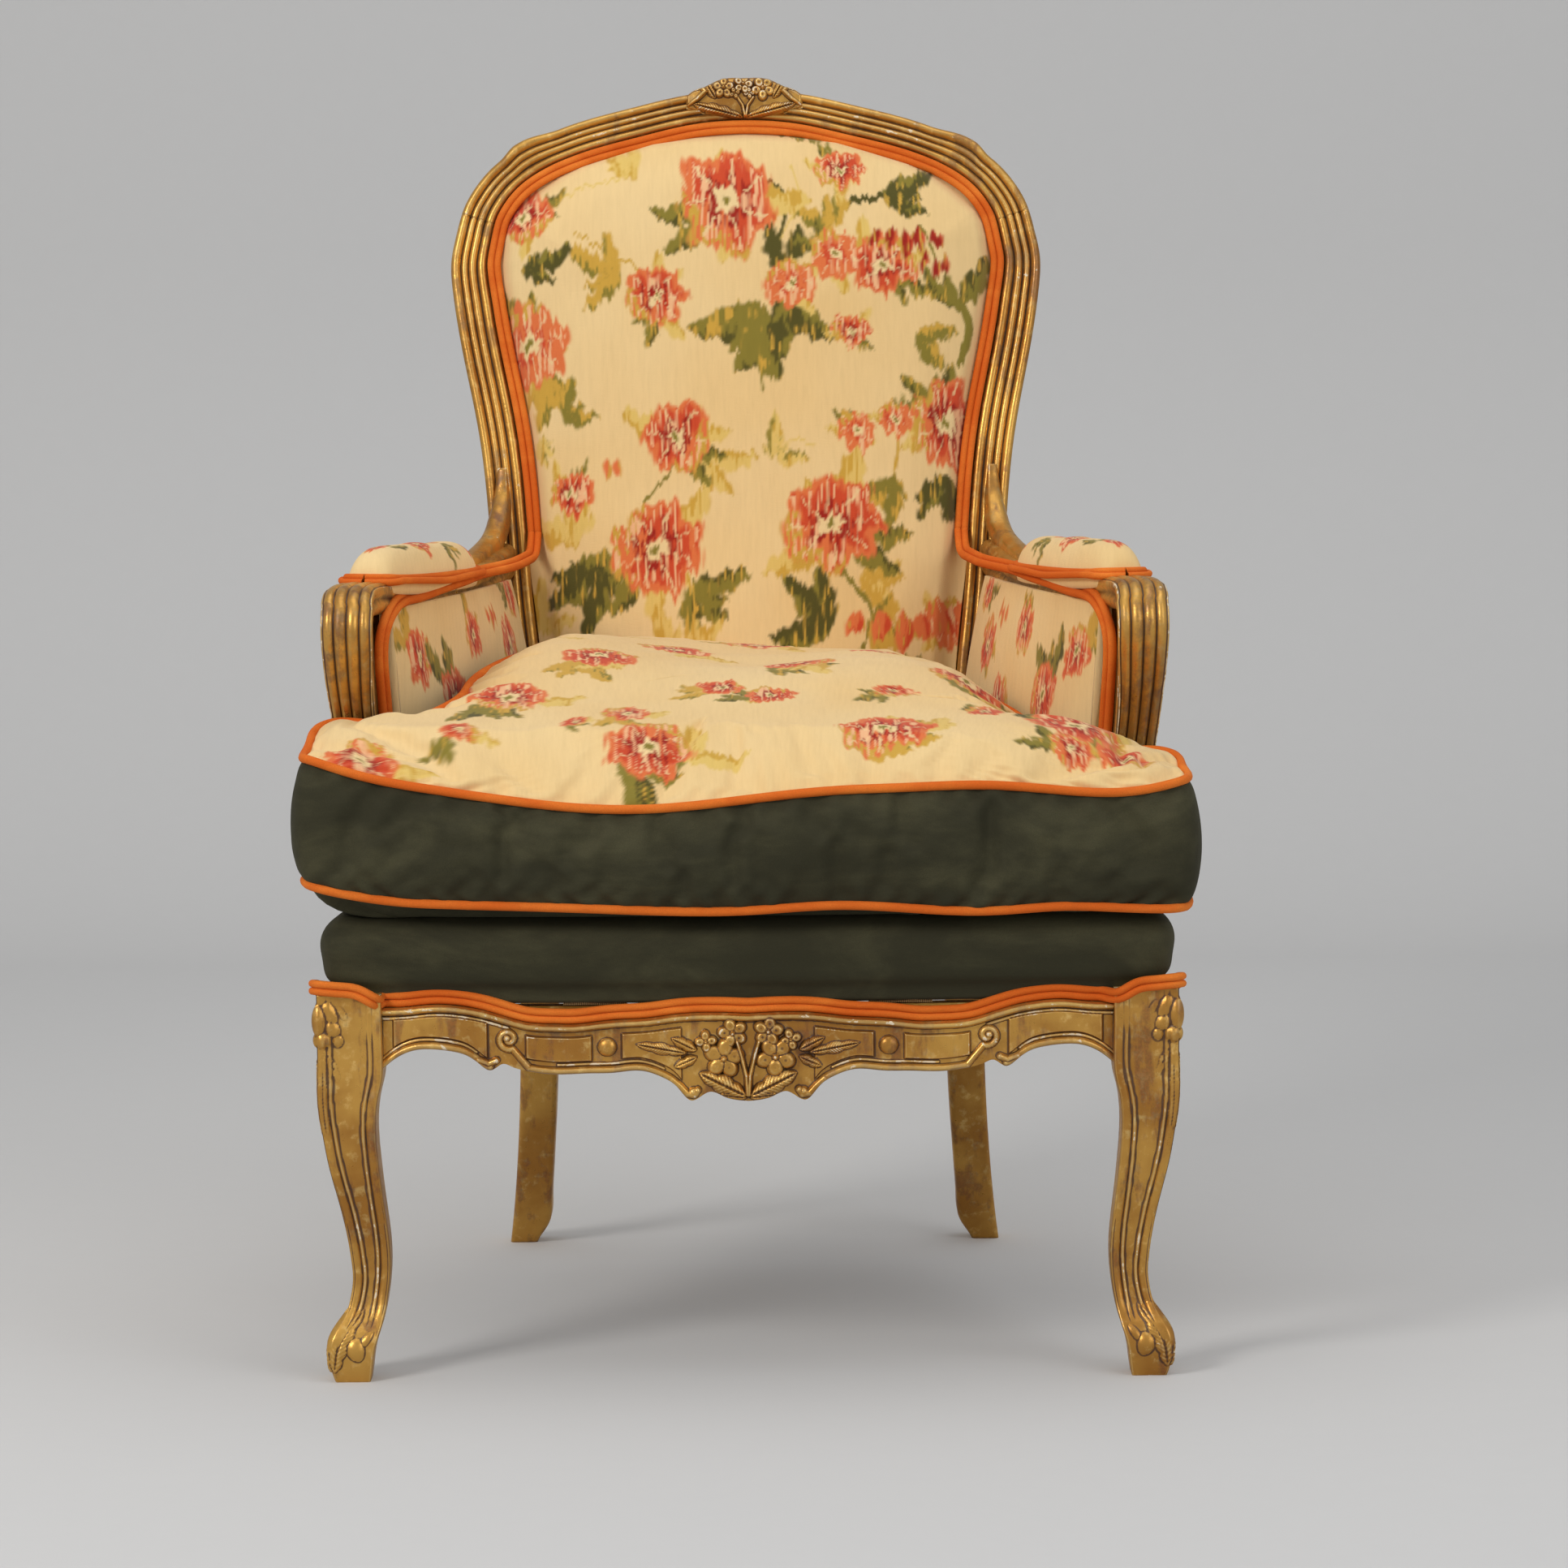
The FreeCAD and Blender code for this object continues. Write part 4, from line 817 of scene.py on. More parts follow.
def leg_carving(gap, z):
    """Height of the knee's and the toe's carving, by distance from the leg's outer corner."""
    work = Carving(gap, z)
    for leaf in (((0.0045, 0.2630), (0.0035, 0.1960), 0.0068, 0.0030, 6.0),
                 ((0.0060, 0.2680), (0.0175, 0.2400), 0.0042, 0.0026, 3.0),
                 ((0.0020, 0.0080), (0.0130, 0.0560), 0.0085, 0.0048, 4.0)):
        work.leaf(*leaf)
    for boss in ((0.0, 0.2900, 0.0085, 0.0135, 0, 0.0058), (0.0105, 0.2955, 0.0060, 0.0110, 0.35, 0.0042),
                 (0.0125, 0.2835, 0.0062, 0.0080, 0.5, 0.0046), (0.0050, 0.2745, 0.0068, 0.0070, 0, 0.0052),
                 (0.0165, 0.2740, 0.0048, 0.0058, 0, 0.0040), (0.0200, 0.2960, 0.0036, 0.0090, 0.6, 0.0026),
                 (0.0020, 0.0400, 0.0150, 0.0190, 0, 0.0050), (0.0205, 0.0265, 0.0078, 0.0105, 0.3, 0.0046),
                 (0.0275, 0.0350, 0.0045, 0.0080, -0.3, 0.0032)):
        work.boss(*boss)
    work.rib([(0.0260, 0.3040), (0.0215, 0.2860), (0.0225, 0.2640), (0.0205, 0.2400), (0.0150, 0.2150)],
             0.0018, 0.0018, True)
    flutes = 0.0007 * np.abs(np.sin(gap * 620)) * (1 - eased(0.010, 0.022, z)) * eased(0.0, 0.004, z)
    return work.height + flutes


def leg_patch():
    heights = np.concatenate([np.linspace(0, 0.066, 84), np.linspace(0.068, 0.188, 60),
                              np.linspace(0.190, 0.3105, 121)])
    outer = table(LEG_EDGES[:, [0, 1]], heights)
    inner = table(LEG_EDGES[:, [0, 2]], heights)
    corner, end, ground = FACE_POINTS - 1, 2 * FACE_POINTS - 1, 0.0018
    rings = []
    for z, x_out, x_in in zip(heights, outer, inner):
        half = (x_out - x_in) / 2
        fade = (1 - float(eased(0.262, 0.285, z)) * 0.85) * float(eased(0.040, 0.060, z))
        section = leg_section(x_out - x_in, 0.0056, 0.0034 * fade)
        front, side = half - section[:FACE_POINTS, 0], section[corner:end, 1] + half
        front, side = (np.maximum(0, leg_carving(gap, np.full(FACE_POINTS, z)) - ground) for gap in (front,
                                                                                                     side))
        section[:corner, 1] -= front[:corner]
        section[FACE_POINTS:end, 0] += side[1:]
        section[corner] += np.array([front[corner], -front[corner]]) * 0.7
        middle = np.array([x_out - half, KNEE_OUT - x_out - KNEE_FRONT + half, z])
        rings.append(middle + np.column_stack([section, np.zeros(len(section))]))
    return tube_patch(np.array(rings))


def make_front_legs():
    for side, form in both(leg_patch()):
        carved("front_leg", form, side)


# Front rail: a carved face over the bowed plank

RAIL_EDGE = [
    (0, 0.2245), (0.02, 0.2285), (0.03, 0.232), (0.037, 0.2286), (0.046, 0.2255), (0.056, 0.236),
             (0.065, 0.2425),
    (0.085, 0.249), (0.105, 0.2475), (0.125, 0.247), (0.150, 0.2462), (0.174, 0.249), (0.186, 0.2525),
             (0.193, 0.2545),
    (0.202, 0.2495), (0.212, 0.255), (0.221, 0.261), (0.231, 0.264), (0.250, 0.266), (0.260, 0.2655),
             (0.269, 0.263),
    (0.279, 0.2575), (0.288, 0.250)]
RAIL_TOP_LINE = [
    (0, 0.2935), (0.058, 0.2931), (0.077, 0.2906), (0.096, 0.2894), (0.115, 0.2880), (0.134, 0.2858),
                 (0.153, 0.2858),
    (0.172, 0.2870), (0.191, 0.2920), (0.210, 0.2974), (0.229, 0.3005), (0.2485, 0.3012), (0.268, 0.2992),
    (0.288, 0.2985)]


def spiral(x, z, radius, turns, start):
    """Points of a scroll that winds in to its eye."""
    turn = np.linspace(0, turns * 2 * math.pi, int(26 * turns))
    size = radius * (1 - 0.8 * turn / turn[-1])
    return np.column_stack([x + size * np.cos(start + turn), z + size * np.sin(start + turn)])


def rail_relief(x, z):
    """Height of the carving over the front rail's ground."""
    a = np.abs(x)
    low = table(RAIL_EDGE, a.reshape(-1)).reshape(a.shape) + 0.0098
    high = table(RAIL_TOP_LINE, a.reshape(-1)).reshape(a.shape) - 0.0098
    at = np.linspace(0, 0.288, 140)
    bottom = np.column_stack([at, table(RAIL_EDGE, at)])
    top = np.column_stack([at, table(RAIL_TOP_LINE, at)])
    edge = np.array([0, 0.0030])
    scroll = np.concatenate([bottom[(at > 0.060) & (at < 0.172)] + edge,
                             spiral(0.1880, 0.2745, 0.0086, 1.15, -math.pi * 0.62)])
    work = Carving(a, z)
    for line, half, tall in (
            (top - edge, 0.0030, 0.0050),
            (top[(at > 0.188)] - np.array([0, 0.0082]), 0.0014, 0.0016),
            (bottom[at > 0.203] + edge, 0.0030, 0.0044),
            (bottom[at > 0.212] + np.array([0, 0.0078]), 0.0013, 0.0016),
            (scroll, 0.0029, 0.0046),
            (bottom[(at > 0.066) & (at < 0.150)] + np.array([0, 0.0076]), 0.0012, 0.0015),
            ([(0.0600, 0.2425), (0.0535, 0.2370), (0.0480, 0.2310), (0.0425, 0.2300), (0.0400, 0.2335)],
             0.0031, 0.0050),
            ([(0.2120, 0.2580), (0.2040, 0.2550), (0.1980, 0.2575)], 0.0030, 0.0050),
            ([(0.0006, 0.2300), (0.0015, 0.2450), (0.0050, 0.2600), (0.0085, 0.2720)], 0.0018, 0.0070)):
        work.rib(line, half, tall)
    for cx, cz, size, tall in ((0.1893, 0.2752, 0.0036, 0.0056), (0.0432, 0.2320, 0.0042, 0.0054),
                               (0.1105, 0.2680, 0.0074, 0.0050)):
        work.boss(cx, cz, size, size, 0, tall)
    for panel in ((0.2045, 0.2790, low, high + 0.0012, 0.0032), (0.1225, 0.1745, low, high, 0.0032),
                  (0.0520, 0.0990, low + 0.0006, high - 0.0006, 0.0028)):
        work.panel(*panel)
    for leaf in (((0.0480, 0.2630), (0.0880, 0.2705), 0.0052, 0.0056, 3.0),
                 ((0.0400, 0.2650), (0.0600, 0.2750), 0.0048, 0.0062, 2.0),
                 ((0.0400, 0.2600), (0.0580, 0.2520), 0.0044, 0.0060, 2.0),
                 ((0.0015, 0.2290), (0.0385, 0.2475), 0.0078, 0.0076, 3.0),
                 ((0.0010, 0.2275), (0.0230, 0.2300), 0.0040, 0.0062, 2.0)):
        work.leaf(*leaf)
    work.x = x
    for cx, cz, size, petals, turn in (
            (-0.0190, 0.2590, 0.0150, 5, 0.2), (0.0215, 0.2600, 0.0150, 5, 0.9),
                                       (-0.0120, 0.2790, 0.0112, 5, 0.6),
            (0.0160, 0.2800, 0.0112, 5, 1.4), (0.0335, 0.2735, 0.0080, 4, 0.3),
                                       (-0.0330, 0.2725, 0.0082, 4, 0.1)):
        work.flower(cx, cz, size, 0.0092, petals, turn)
    return work.height


def make_front_rail():
    columns, rows = 1041, 118
    x = np.linspace(-BLOCK_IN, BLOCK_IN, columns)
    low = table(RAIL_EDGE, np.abs(x))
    high = table(RAIL_TOP_LINE, np.abs(x))
    share = np.linspace(0, 1, rows)[:, None]
    z = low + (high - low) * share
    xs = np.broadcast_to(x, z.shape)
    rim = np.minimum(share, 1 - share) * (high - low)
    height = rail_relief(xs, z) * np.clip(rim / 0.0012, 0, 1) ** 0.5
    face = np.stack([xs, rail_face(xs) + 0.0048 - height, z], axis=-1)
    above = np.full(columns, RAIL_TOP - 0.001)
    under, behind_low, lip, step, behind_high = (
        np.stack([x, rail_face(x) + deep, level], axis=-1)[None]
        for deep, level in ((0.010, low), (0.029, low), (0.0115, high), (0.0115, above), (0.029, above)))
    grid = np.concatenate([behind_low, under, face, lip, step, behind_high])
    carved("front_rail", tube_patch(np.swapaxes(grid, 0, 1)), part="front_seat_rail")


# Arms

def arm_line():
    tip, wide, high = -0.224, KNEE_OUT - 0.020, ARM_HEIGHT
    end = in_back(0.222, high + 0.012)
    return np.array([(wide - 0.001, tip, high - 0.018), (wide - 0.001, tip + 0.005, high),
                     (wide - 0.004, tip + 0.034, high + 0.007), (wide - 0.016, tip + 0.084, high + 0.005),
                     (wide - 0.036, tip + 0.146, high + 0.002), (wide - 0.058, tip + 0.234, high),
                     (wide - 0.076, tip + 0.330, high), tuple(end)])


def inner_arm(y):
    line = arm_line()[1:]
    return np.interp(y, line[:, 1], line[:, 0]) - 0.0192


def reeds(at, deep):
    """Depth of the grooves across a reeded face."""
    return deep * (1 - np.abs(np.sin(at * 2 * math.pi)) ** 0.5) * (np.abs(at) < 0.93)


def arm_patch():
    """Ribbed arm rest that curls over its front end and runs down into the support."""
    wide = KNEE_OUT - 0.021
    curl = np.array([(wide - 0.002, -0.196, 0.6115), (wide - 0.0005, -0.2140, 0.6065), (wide, -0.2225, 0.592),
                     (wide, -0.2180, 0.574), (wide, -0.2095, 0.553), (wide - 0.0005, -0.1990, 0.531),
                     (wide - 0.0020, -0.1905, 0.507), (wide - 0.0050, -0.1850, 0.480)])
    places = smooth(np.concatenate([arm_line()[:2:-1], curl]), 240)
    direction = unit(np.gradient(places, axis=0))
    across = unit(np.cross(direction, np.where(direction[:, 2:] < -0.75, np.array([0, -1.0, 0]), UP)))
    across = unit(np.where(np.abs(across[:, :1]) > 0, across, RIGHT))
    across = np.where((across @ RIGHT)[:, None] < 0, -across, across)
    lift = unit(np.cross(direction, across))
    lift = np.where((lift[:, 2] - lift[:, 1] * 0.9)[:, None] < 0, -lift, lift)
    run = lengths(places)
    from_tip = run[-1] - run
    half = table([(0, 0.0160), (0.03, 0.0166), (0.06, 0.0178), (0.09, 0.0196), (0.13, 0.0205), (0.17, 0.0200),
                  (0.36, 0.0180), (0.56, 0.0165)], from_tip)
    deep = table([(0, 0.0030), (0.03, 0.0052), (0.06, 0.0085), (0.09, 0.0118), (0.13, 0.0138), (0.17, 0.0135),
                  (0.36, 0.0125), (0.52, 0.0132), (0.56, 0.0165)], from_tip)
    at = np.linspace(-1, 1, 49)
    grid = []
    for place, a, b, h, d, gone in zip(places, across, lift, half, deep, from_tip):
        crown = d - 0.35 * d * np.abs(at) ** 5 - reeds(at, 0.0040 * (1 - float(eased(0.17, 0.22, gone))))
        side = [(h * 1.0, d * 0.3), (h - 0.0028, -d * 0.02), (h * 0.99, -d * 0.32), (h * 0.93, -d * 0.66),
                (h * 0.8, -d * 0.9)]
        base = np.column_stack([np.linspace(0.68, -0.68, 7) * h, np.full(7, -d)])
        other = [(-p, q) for p, q in reversed(side)]
        section = np.concatenate([np.column_stack([at * h, crown]), side, base, other])
        grid.append(place + a * section[:, :1] + b * section[:, 1:])
    return merged([tube_patch(np.array(grid)), arm_sweep()])


def arm_sweep():
    """The back frame's outer mouldings as they turn forward on to the arm."""
    count, ring_count = 110, 28
    path = np.array([in_back(0.2165, 0.700, -0.006), in_back(0.2175, 0.672, -0.003), (0.2225, 0.2270, 0.6430),
                     (0.2325, 0.1900, 0.6265), (0.2445, 0.1430, 0.6160), (0.2560, 0.0950, 0.6080)])
    places = smooth(path, count)
    share = np.linspace(0, 1, count)
    guide = RIGHT * 0.75 - np.array([0, 1.0, 0]) * 0.2 + UP * 0.65
    across, lift = frames_along(places, np.broadcast_to(guide, places.shape))
    turn = np.arange(ring_count) * 2 * math.pi / ring_count
    radius = 1 - 0.10 * np.abs(np.sin(turn * 2.5)) ** 0.6
    ring = np.column_stack([np.cos(turn) * radius, np.sin(turn) * radius])
    half = straight([(0, 0.006), (0.25, 0.0110), (0.6, 0.0120), (1, 0.0070)], share)
    return tube_patch(swept(places, across, lift, ring[None] * half[:, None, None]))


def support_line():
    foot, wide = -SUPPORT_AT, KNEE_OUT - 0.022
    climb, lean = ARM_HEIGHT - RAIL_TOP, 0.054
    start = side_face(foot) - SUPPORT_HALF
    return np.array([(start, foot, RAIL_TOP - 0.012), (start + 0.002, foot, RAIL_TOP + climb * 0.12),
                     (start + (wide - start) * 0.62, foot + 0.002, RAIL_TOP + climb * 0.42),
                     (wide - 0.002, foot - lean * 0.03, RAIL_TOP + climb * 0.7),
                     (wide, foot - lean * 0.3, RAIL_TOP + climb * 0.9),
                     (wide, foot - lean * 0.55, RAIL_TOP + climb * 0.99)])


def support_patch():
    places = smooth(support_line(), 130)
    direction = unit(np.gradient(places, axis=0))
    across = np.broadcast_to(RIGHT, places.shape)
    ahead = unit(np.cross(direction, across))
    ahead = np.where(ahead[:, 1:2] > 0, -ahead, ahead)
    at = np.linspace(-1, 1, 41)
    half, deep = 0.0165, SUPPORT_HALF
    crown = deep - 0.30 * deep * np.abs(at) ** 6
    front = np.column_stack([at * half, crown - reeds(at, 0.0038)])
    back = np.array([(half, deep * 0.3), (half, -deep * 0.5), (half - 0.003, -deep), (0, -deep),
                     (0.003 - half, -deep), (-half, -deep * 0.5), (-half, deep * 0.3)])
    return tube_patch(swept(places, across, ahead, np.concatenate([front, back])))


def make_arms():
    for (side, arm), (_, support) in zip(both(arm_patch()), both(support_patch())):
        carved("arm_rest", arm, side, GILT_DARK, 1)
        carved("arm_support", support, side, GILT_DARK, 1)


# Welts and pipings

def double_welt(places, out, width=0.012, tall=0.0056):
    """Two velvet cords side by side, sewn from one strip of cloth."""
    across, lift = frames_along(places, out)
    radius = width / 4
    turn = np.linspace(math.pi, 0, 9)
    first = np.column_stack([-radius + radius * np.cos(turn), (tall - radius) + radius * np.sin(turn)])
    second = first + np.array([2 * radius, 0])
    profile = np.concatenate([[(-2 * radius, 0)], first, second[1:], [(2 * radius, 0)]])
    return tube_patch(swept(places, across, lift, profile))


def make_back_welt():
    start, count = 0.318, 280
    places, inward = back_outline(count, start, 1.0)
    width = face_width(np.linspace(start, 1.0, count)) + 0.0066
    path = whole(places + inward * width[:, None] - FORWARD * 0.0047)
    welted("back_welt_velvet", double_welt(path, np.broadcast_to(FORWARD, path.shape)), ["back_welt"])


def make_seat_welt():
    x = np.linspace(-BLOCK_IN, BLOCK_IN, 300)
    z = table(RAIL_TOP_LINE, np.abs(x)) + 0.0062
    path = np.column_stack([x, rail_face(x) + 0.0102, z])
    corner = np.array([(BLOCK_IN + 0.006, -0.3215, 0.3062), (0.305, -0.3222, 0.3125),
                       (0.320, -0.3222, 0.3150),
                       (0.3330, -0.3210, 0.3162), (0.3383, -0.3165, 0.3162), (0.3388, -0.3000, 0.3140),
                       (0.3385, -0.2800, 0.3100)])
    path = smooth(np.concatenate([corner[::-1] * MIRROR, path[::6], corner]), 420)
    out = np.tile(np.array([0, -1.0, 0]), (len(path), 1))
    turn = eased(0.326, 0.3386, np.abs(path[:, 0]))
    out = unit(out * (1 - turn[:, None]) + np.sign(path[:, :1]) * RIGHT * turn[:, None])
    welted("seat_welt_velvet", double_welt(path, out, 0.0118, 0.0052), ["seat_welt"])


def make_arm_welts():
    count = 300
    y = np.array([0.085, 0.02, -0.05, -0.11, -0.150])
    points = np.column_stack([inner_arm(y) + 0.0005, y, np.array([0.6165, 0.6145, 0.6115, 0.6080, 0.6035])])
    start = np.array([(0.1886, 0.2440, 0.6420), (0.1896, 0.2350, 0.6290), (0.1945, 0.2060, 0.6215),
                      (0.2060, 0.1500, 0.6185)])
    wide, front = KNEE_OUT - 0.0435, -SUPPORT_AT
    more = np.array([(wide - 0.001, front - 0.006, ARM_HEIGHT - 0.024),
                     (wide - 0.001, front - 0.002, ARM_HEIGHT - 0.070),
                     (wide - 0.006, front, ARM_HEIGHT - 0.130),
                     (wide - 0.018, front + 0.002, ARM_HEIGHT - 0.20)])
    path = smooth(np.concatenate([start, points, more]), count)
    share = np.linspace(0, 1, count)[:, None]
    lying = unit(np.array([-0.55, -0.25, 0.8]))
    out = FORWARD * (1 - eased(0.0, 0.12, share)) + lying * eased(0.0, 0.12, share)
    standing = eased(0.60, 0.72, share)
    out = unit(out * (1 - standing) + unit(np.array([-0.75, -0.65, 0.0])) * standing)
    for side, form in both(double_welt(path, out)):
        welted("inside_arm_welt_velvet_" + side, form, ["inside_arm_welt_" + side])


# The flowered cloth: a warp-printed pattern, so its edges feather along the threads

CREAM, SAND = srgb(240, 210, 154), srgb(232, 194, 130)
CORAL, ROSE, RED, BLUSH = srgb(226, 118, 66), srgb(208, 76, 42), srgb(160, 34, 22), srgb(242, 186, 138)
OLIVE, MOSS, MUSTARD, STRAW = srgb(138, 124, 48), srgb(86, 80, 32), srgb(208, 164, 66), srgb(228, 194, 108)


class Print:
    """Colours of one cut of the cloth, on a fine grid over its own width and length in millimetres."""

    def __init__(self, low, high, seed, cell=0.8):
        self.low, self.cell, self.seed = low, cell, seed
        count = [int((b - a) / cell) + 2 for a, b in zip(low, high)]
        u, v = np.meshgrid(low[0] + np.arange(count[0]) * cell, low[1] + np.arange(count[1]) * cell,
                           indexing="ij")
        thread = noise(u * 0.5, v * 0.02, seed=seed) * 3.4 + noise(u * 0.2, v * 0.014, seed=seed + 1) * 3.0
        self.u = u + noise(u * 0.05, v * 0.05, seed=seed + 2) * 2.0
        self.v = v + thread + noise(u * 0.04, v * 0.04, seed=seed + 3) * 2.5
        self.speck = noise(u * 0.55, v * 0.07, seed=seed + 4)
        tone = np.clip(0.35 + 0.3 * noise(u * 0.012, v * 0.012, seed=seed + 5, octaves=2), 0, 1)[..., None]
        self.colour = np.array(CREAM) * (1 - tone) + np.array(SAND) * tone

    def part(self, cu, cv, reach):
        """The cells within reach of a place, so that each motif costs little."""
        a, b, c, d = (int(max(0, (middle + way * reach - low) / self.cell))
                      for middle, low in zip((cu, cv), self.low) for way in (-1, 1))
        return np.s_[a:b + 1, c:d + 1]

    def lay_in(self, where, cover, colour):
        cover = np.clip(cover, 0, 1)[..., None]
        self.colour[where] = self.colour[where] * (1 - cover) + np.array(colour) * cover

    def blossom(self, cu, cv, size, lobes, flat, seed, colours=(CORAL, ROSE, RED)):
        where = self.part(cu, cv, size * 1.6 + 10)
        if self.u[where].size == 0:
            return
        du = (self.u[where] - cu) / size
        dv = (self.v[where] - cv) / (size * flat)
        r = np.hypot(du, dv)
        turn = np.arctan2(dv, du)
        wave = noise(np.cos(turn) * 2.6 + seed, np.sin(turn) * 2.6, seed=self.seed + 9)
        fringe = noise(self.u[where] * 0.34, self.v[where] * 0.05, seed=self.seed + 17 + seed)
        rim = 0.88 + 0.15 * np.abs(np.cos(turn * lobes / 2 + seed)) + 0.16 * wave + 0.10 * fringe
        share = r / rim
        speck = self.speck[where]
        petal = np.abs(np.sin(turn * lobes / 2 + seed))
        side = 0.5 + 0.5 * np.sin(turn + seed * 1.7)
        self.lay_in(where, (1 - share) / 0.08, colours[0])
        self.lay_in(where, (1.02 - share) / 0.1 * (side > 0.72) * (share > 0.62) * (speck > -0.2), MUSTARD)
        self.lay_in(where, (0.90 - share - 0.20 * petal * side + 0.14 * speck) / 0.12 * (side < 0.86),
                    colours[1])
        self.lay_in(where, (0.62 - share - 0.12 * petal + 0.26 * speck) / 0.1 * (speck > -0.3), colours[2])
        self.lay_in(where, (speck - 0.28) / 0.2 * (share < 0.86) * (share > 0.3), BLUSH)
        lines = np.abs(np.sin(turn * lobes / 2 + seed)) < 0.14 + 0.1 * speck
        self.lay_in(where, lines * (share > 0.36) * (share < 0.8) * 0.75, CREAM)
        self.lay_in(where, (0.27 - share + 0.07 * wave + 0.04 * fringe) / 0.06, CREAM)
        self.lay_in(where, (0.12 - share + 0.05 * speck) / 0.04, OLIVE)

    def leaf(self, u0, v0, u1, v1, width, colours=(OLIVE, MOSS), teeth=3.0):
        length = math.hypot(u1 - u0, v1 - v0)
        where = self.part((u0 + u1) / 2, (v0 + v1) / 2, length / 2 + width + 10)
        if self.u[where].size == 0:
            return
        along = ((self.u[where] - u0) * (u1 - u0) + (self.v[where] - v0) * (v1 - v0)) / length**2
        side = ((self.v[where] - v0) * (u1 - u0) - (self.u[where] - u0) * (v1 - v0)) / length
        side = side + width * 0.35 * np.sin(along * math.pi) * (1 if u1 > u0 else -1)
        shape = width * np.sin(math.pi * np.clip(along, 0, 1)) ** 0.8
        shape = shape * (0.78 + 0.34 * np.abs(np.sin(along * math.pi * teeth)))
        speck = self.speck[where]
        inside = (shape - np.abs(side) + 0.7 * speck) / 2.4 * (along > 0) * (along < 1) * 0.92
        self.lay_in(where, inside, colours[0])
        self.lay_in(where, np.minimum(inside, (side - width * 0.16 + 0.6 * width * speck) / 1.6), colours[1])
        self.lay_in(where, np.minimum(inside, (speck - 0.5) / 0.15), MUSTARD)

    def spray(self, u, v, size, turn, leaves=5, spread=1.9, colours=(OLIVE, MOSS)):
        """Leaves that fan out from one place."""
        for number in range(leaves):
            angle = turn + spread * ((number + 0.5) / leaves - 0.5)
            reach = size * (0.78 + 0.38 * math.sin(number * 2.4 + u))
            self.leaf(u, v, u + reach * math.cos(angle), v + reach * math.sin(angle), reach * 0.2, colours)

    def flower(self, u, v, size, turn, seed, flat, colours):
        """A blossom on its own leaves, dark ones to one side and yellow ones about it."""
        self.spray(u, v, size * 1.45, turn + 2.6, 5, 4.2, (STRAW, MUSTARD))
        away = size * 0.5
        self.spray(u + away * math.cos(turn), v + away * math.sin(turn), size * 1.1, turn, 4, 1.7)
        self.blossom(u, v, size, 6 + seed % 4, flat, seed, colours)

    def stem(self, points, width, colour):
        points = smooth(np.array(points, float), 24)
        low, high = points.min(0), points.max(0)
        where = self.part(*((low + high) / 2), max(high - low) / 2 + 8)
        if self.u[where].size == 0:
            return
        gap, _ = near_line(self.u[where], self.v[where], points)
        self.lay_in(where, (width - gap) / 0.8, colour)

    def bells(self, u, v, size, count, colours=(CORAL, ROSE)):
        """Small hanging blossoms in a row."""
        for number in range(count):
            du = (number - (count - 1) / 2) * size * 0.55
            drop = size * (1.0 - 0.25 * abs(number - (count - 1) / 2))
            self.leaf(u + du * 0.7, v, u + du, v - drop, size * 0.2, colours, 1.0)

    def at(self, u, v):
        """Colours at places on the cloth."""
        a = np.clip((u - self.low[0]) / self.cell, 0, self.u.shape[0] - 1.001)
        b = np.clip((v - self.low[1]) / self.cell, 0, self.u.shape[1] - 1.001)
        i, j = a.astype(int), b.astype(int)
        a, b = (a - i)[..., None], (b - j)[..., None]
        c = self.colour
        low = c[i, j] * (1 - a) + c[i + 1, j] * a
        high = c[i, j + 1] * (1 - a) + c[i + 1, j + 1] * a
        return low * (1 - b) + high * b


# Upholstery

def two_sided(front, back):
    """A closed pad from a front sheet and a back sheet with the same edge."""
    rows, columns = front.shape[:2]
    count = rows * columns
    faces = [sheet_faces(rows, columns), sheet_faces(rows, columns, start=count)[:, ::-1]]
    index = np.arange(count).reshape(rows, columns)
    edge = np.concatenate([index[0, :-1], index[:-1, -1], index[-1, :0:-1], index[:0:-1, 0]])
    following = np.roll(edge, -1)
    faces.append(np.stack([following, edge, edge + count, following + count], axis=-1))
    return outward(np.concatenate([front.reshape(-1, 3), back.reshape(-1, 3)]), faces)


BACK_INNER = np.array([
    (0.420, 0.176), (0.50, 0.181), (0.570, 0.188), (0.632, 0.1952), (0.660, 0.1968), (0.6745, 0.1976),
                       (0.703, 0.1998),
    (0.732, 0.2035), (0.760, 0.2087), (0.789, 0.2149), (0.817, 0.220), (0.860, 0.2274), (0.880, 0.2285),
    (0.903, 0.2272), (0.918, 0.2235), (0.932, 0.2154), (0.952, 0.193), (0.968, 0.172), (0.979, 0.150),
    (0.986, 0.128), (0.993, 0.1065), (0.9995, 0.085), (1.0045, 0.045), (1.0065, 0.0)])


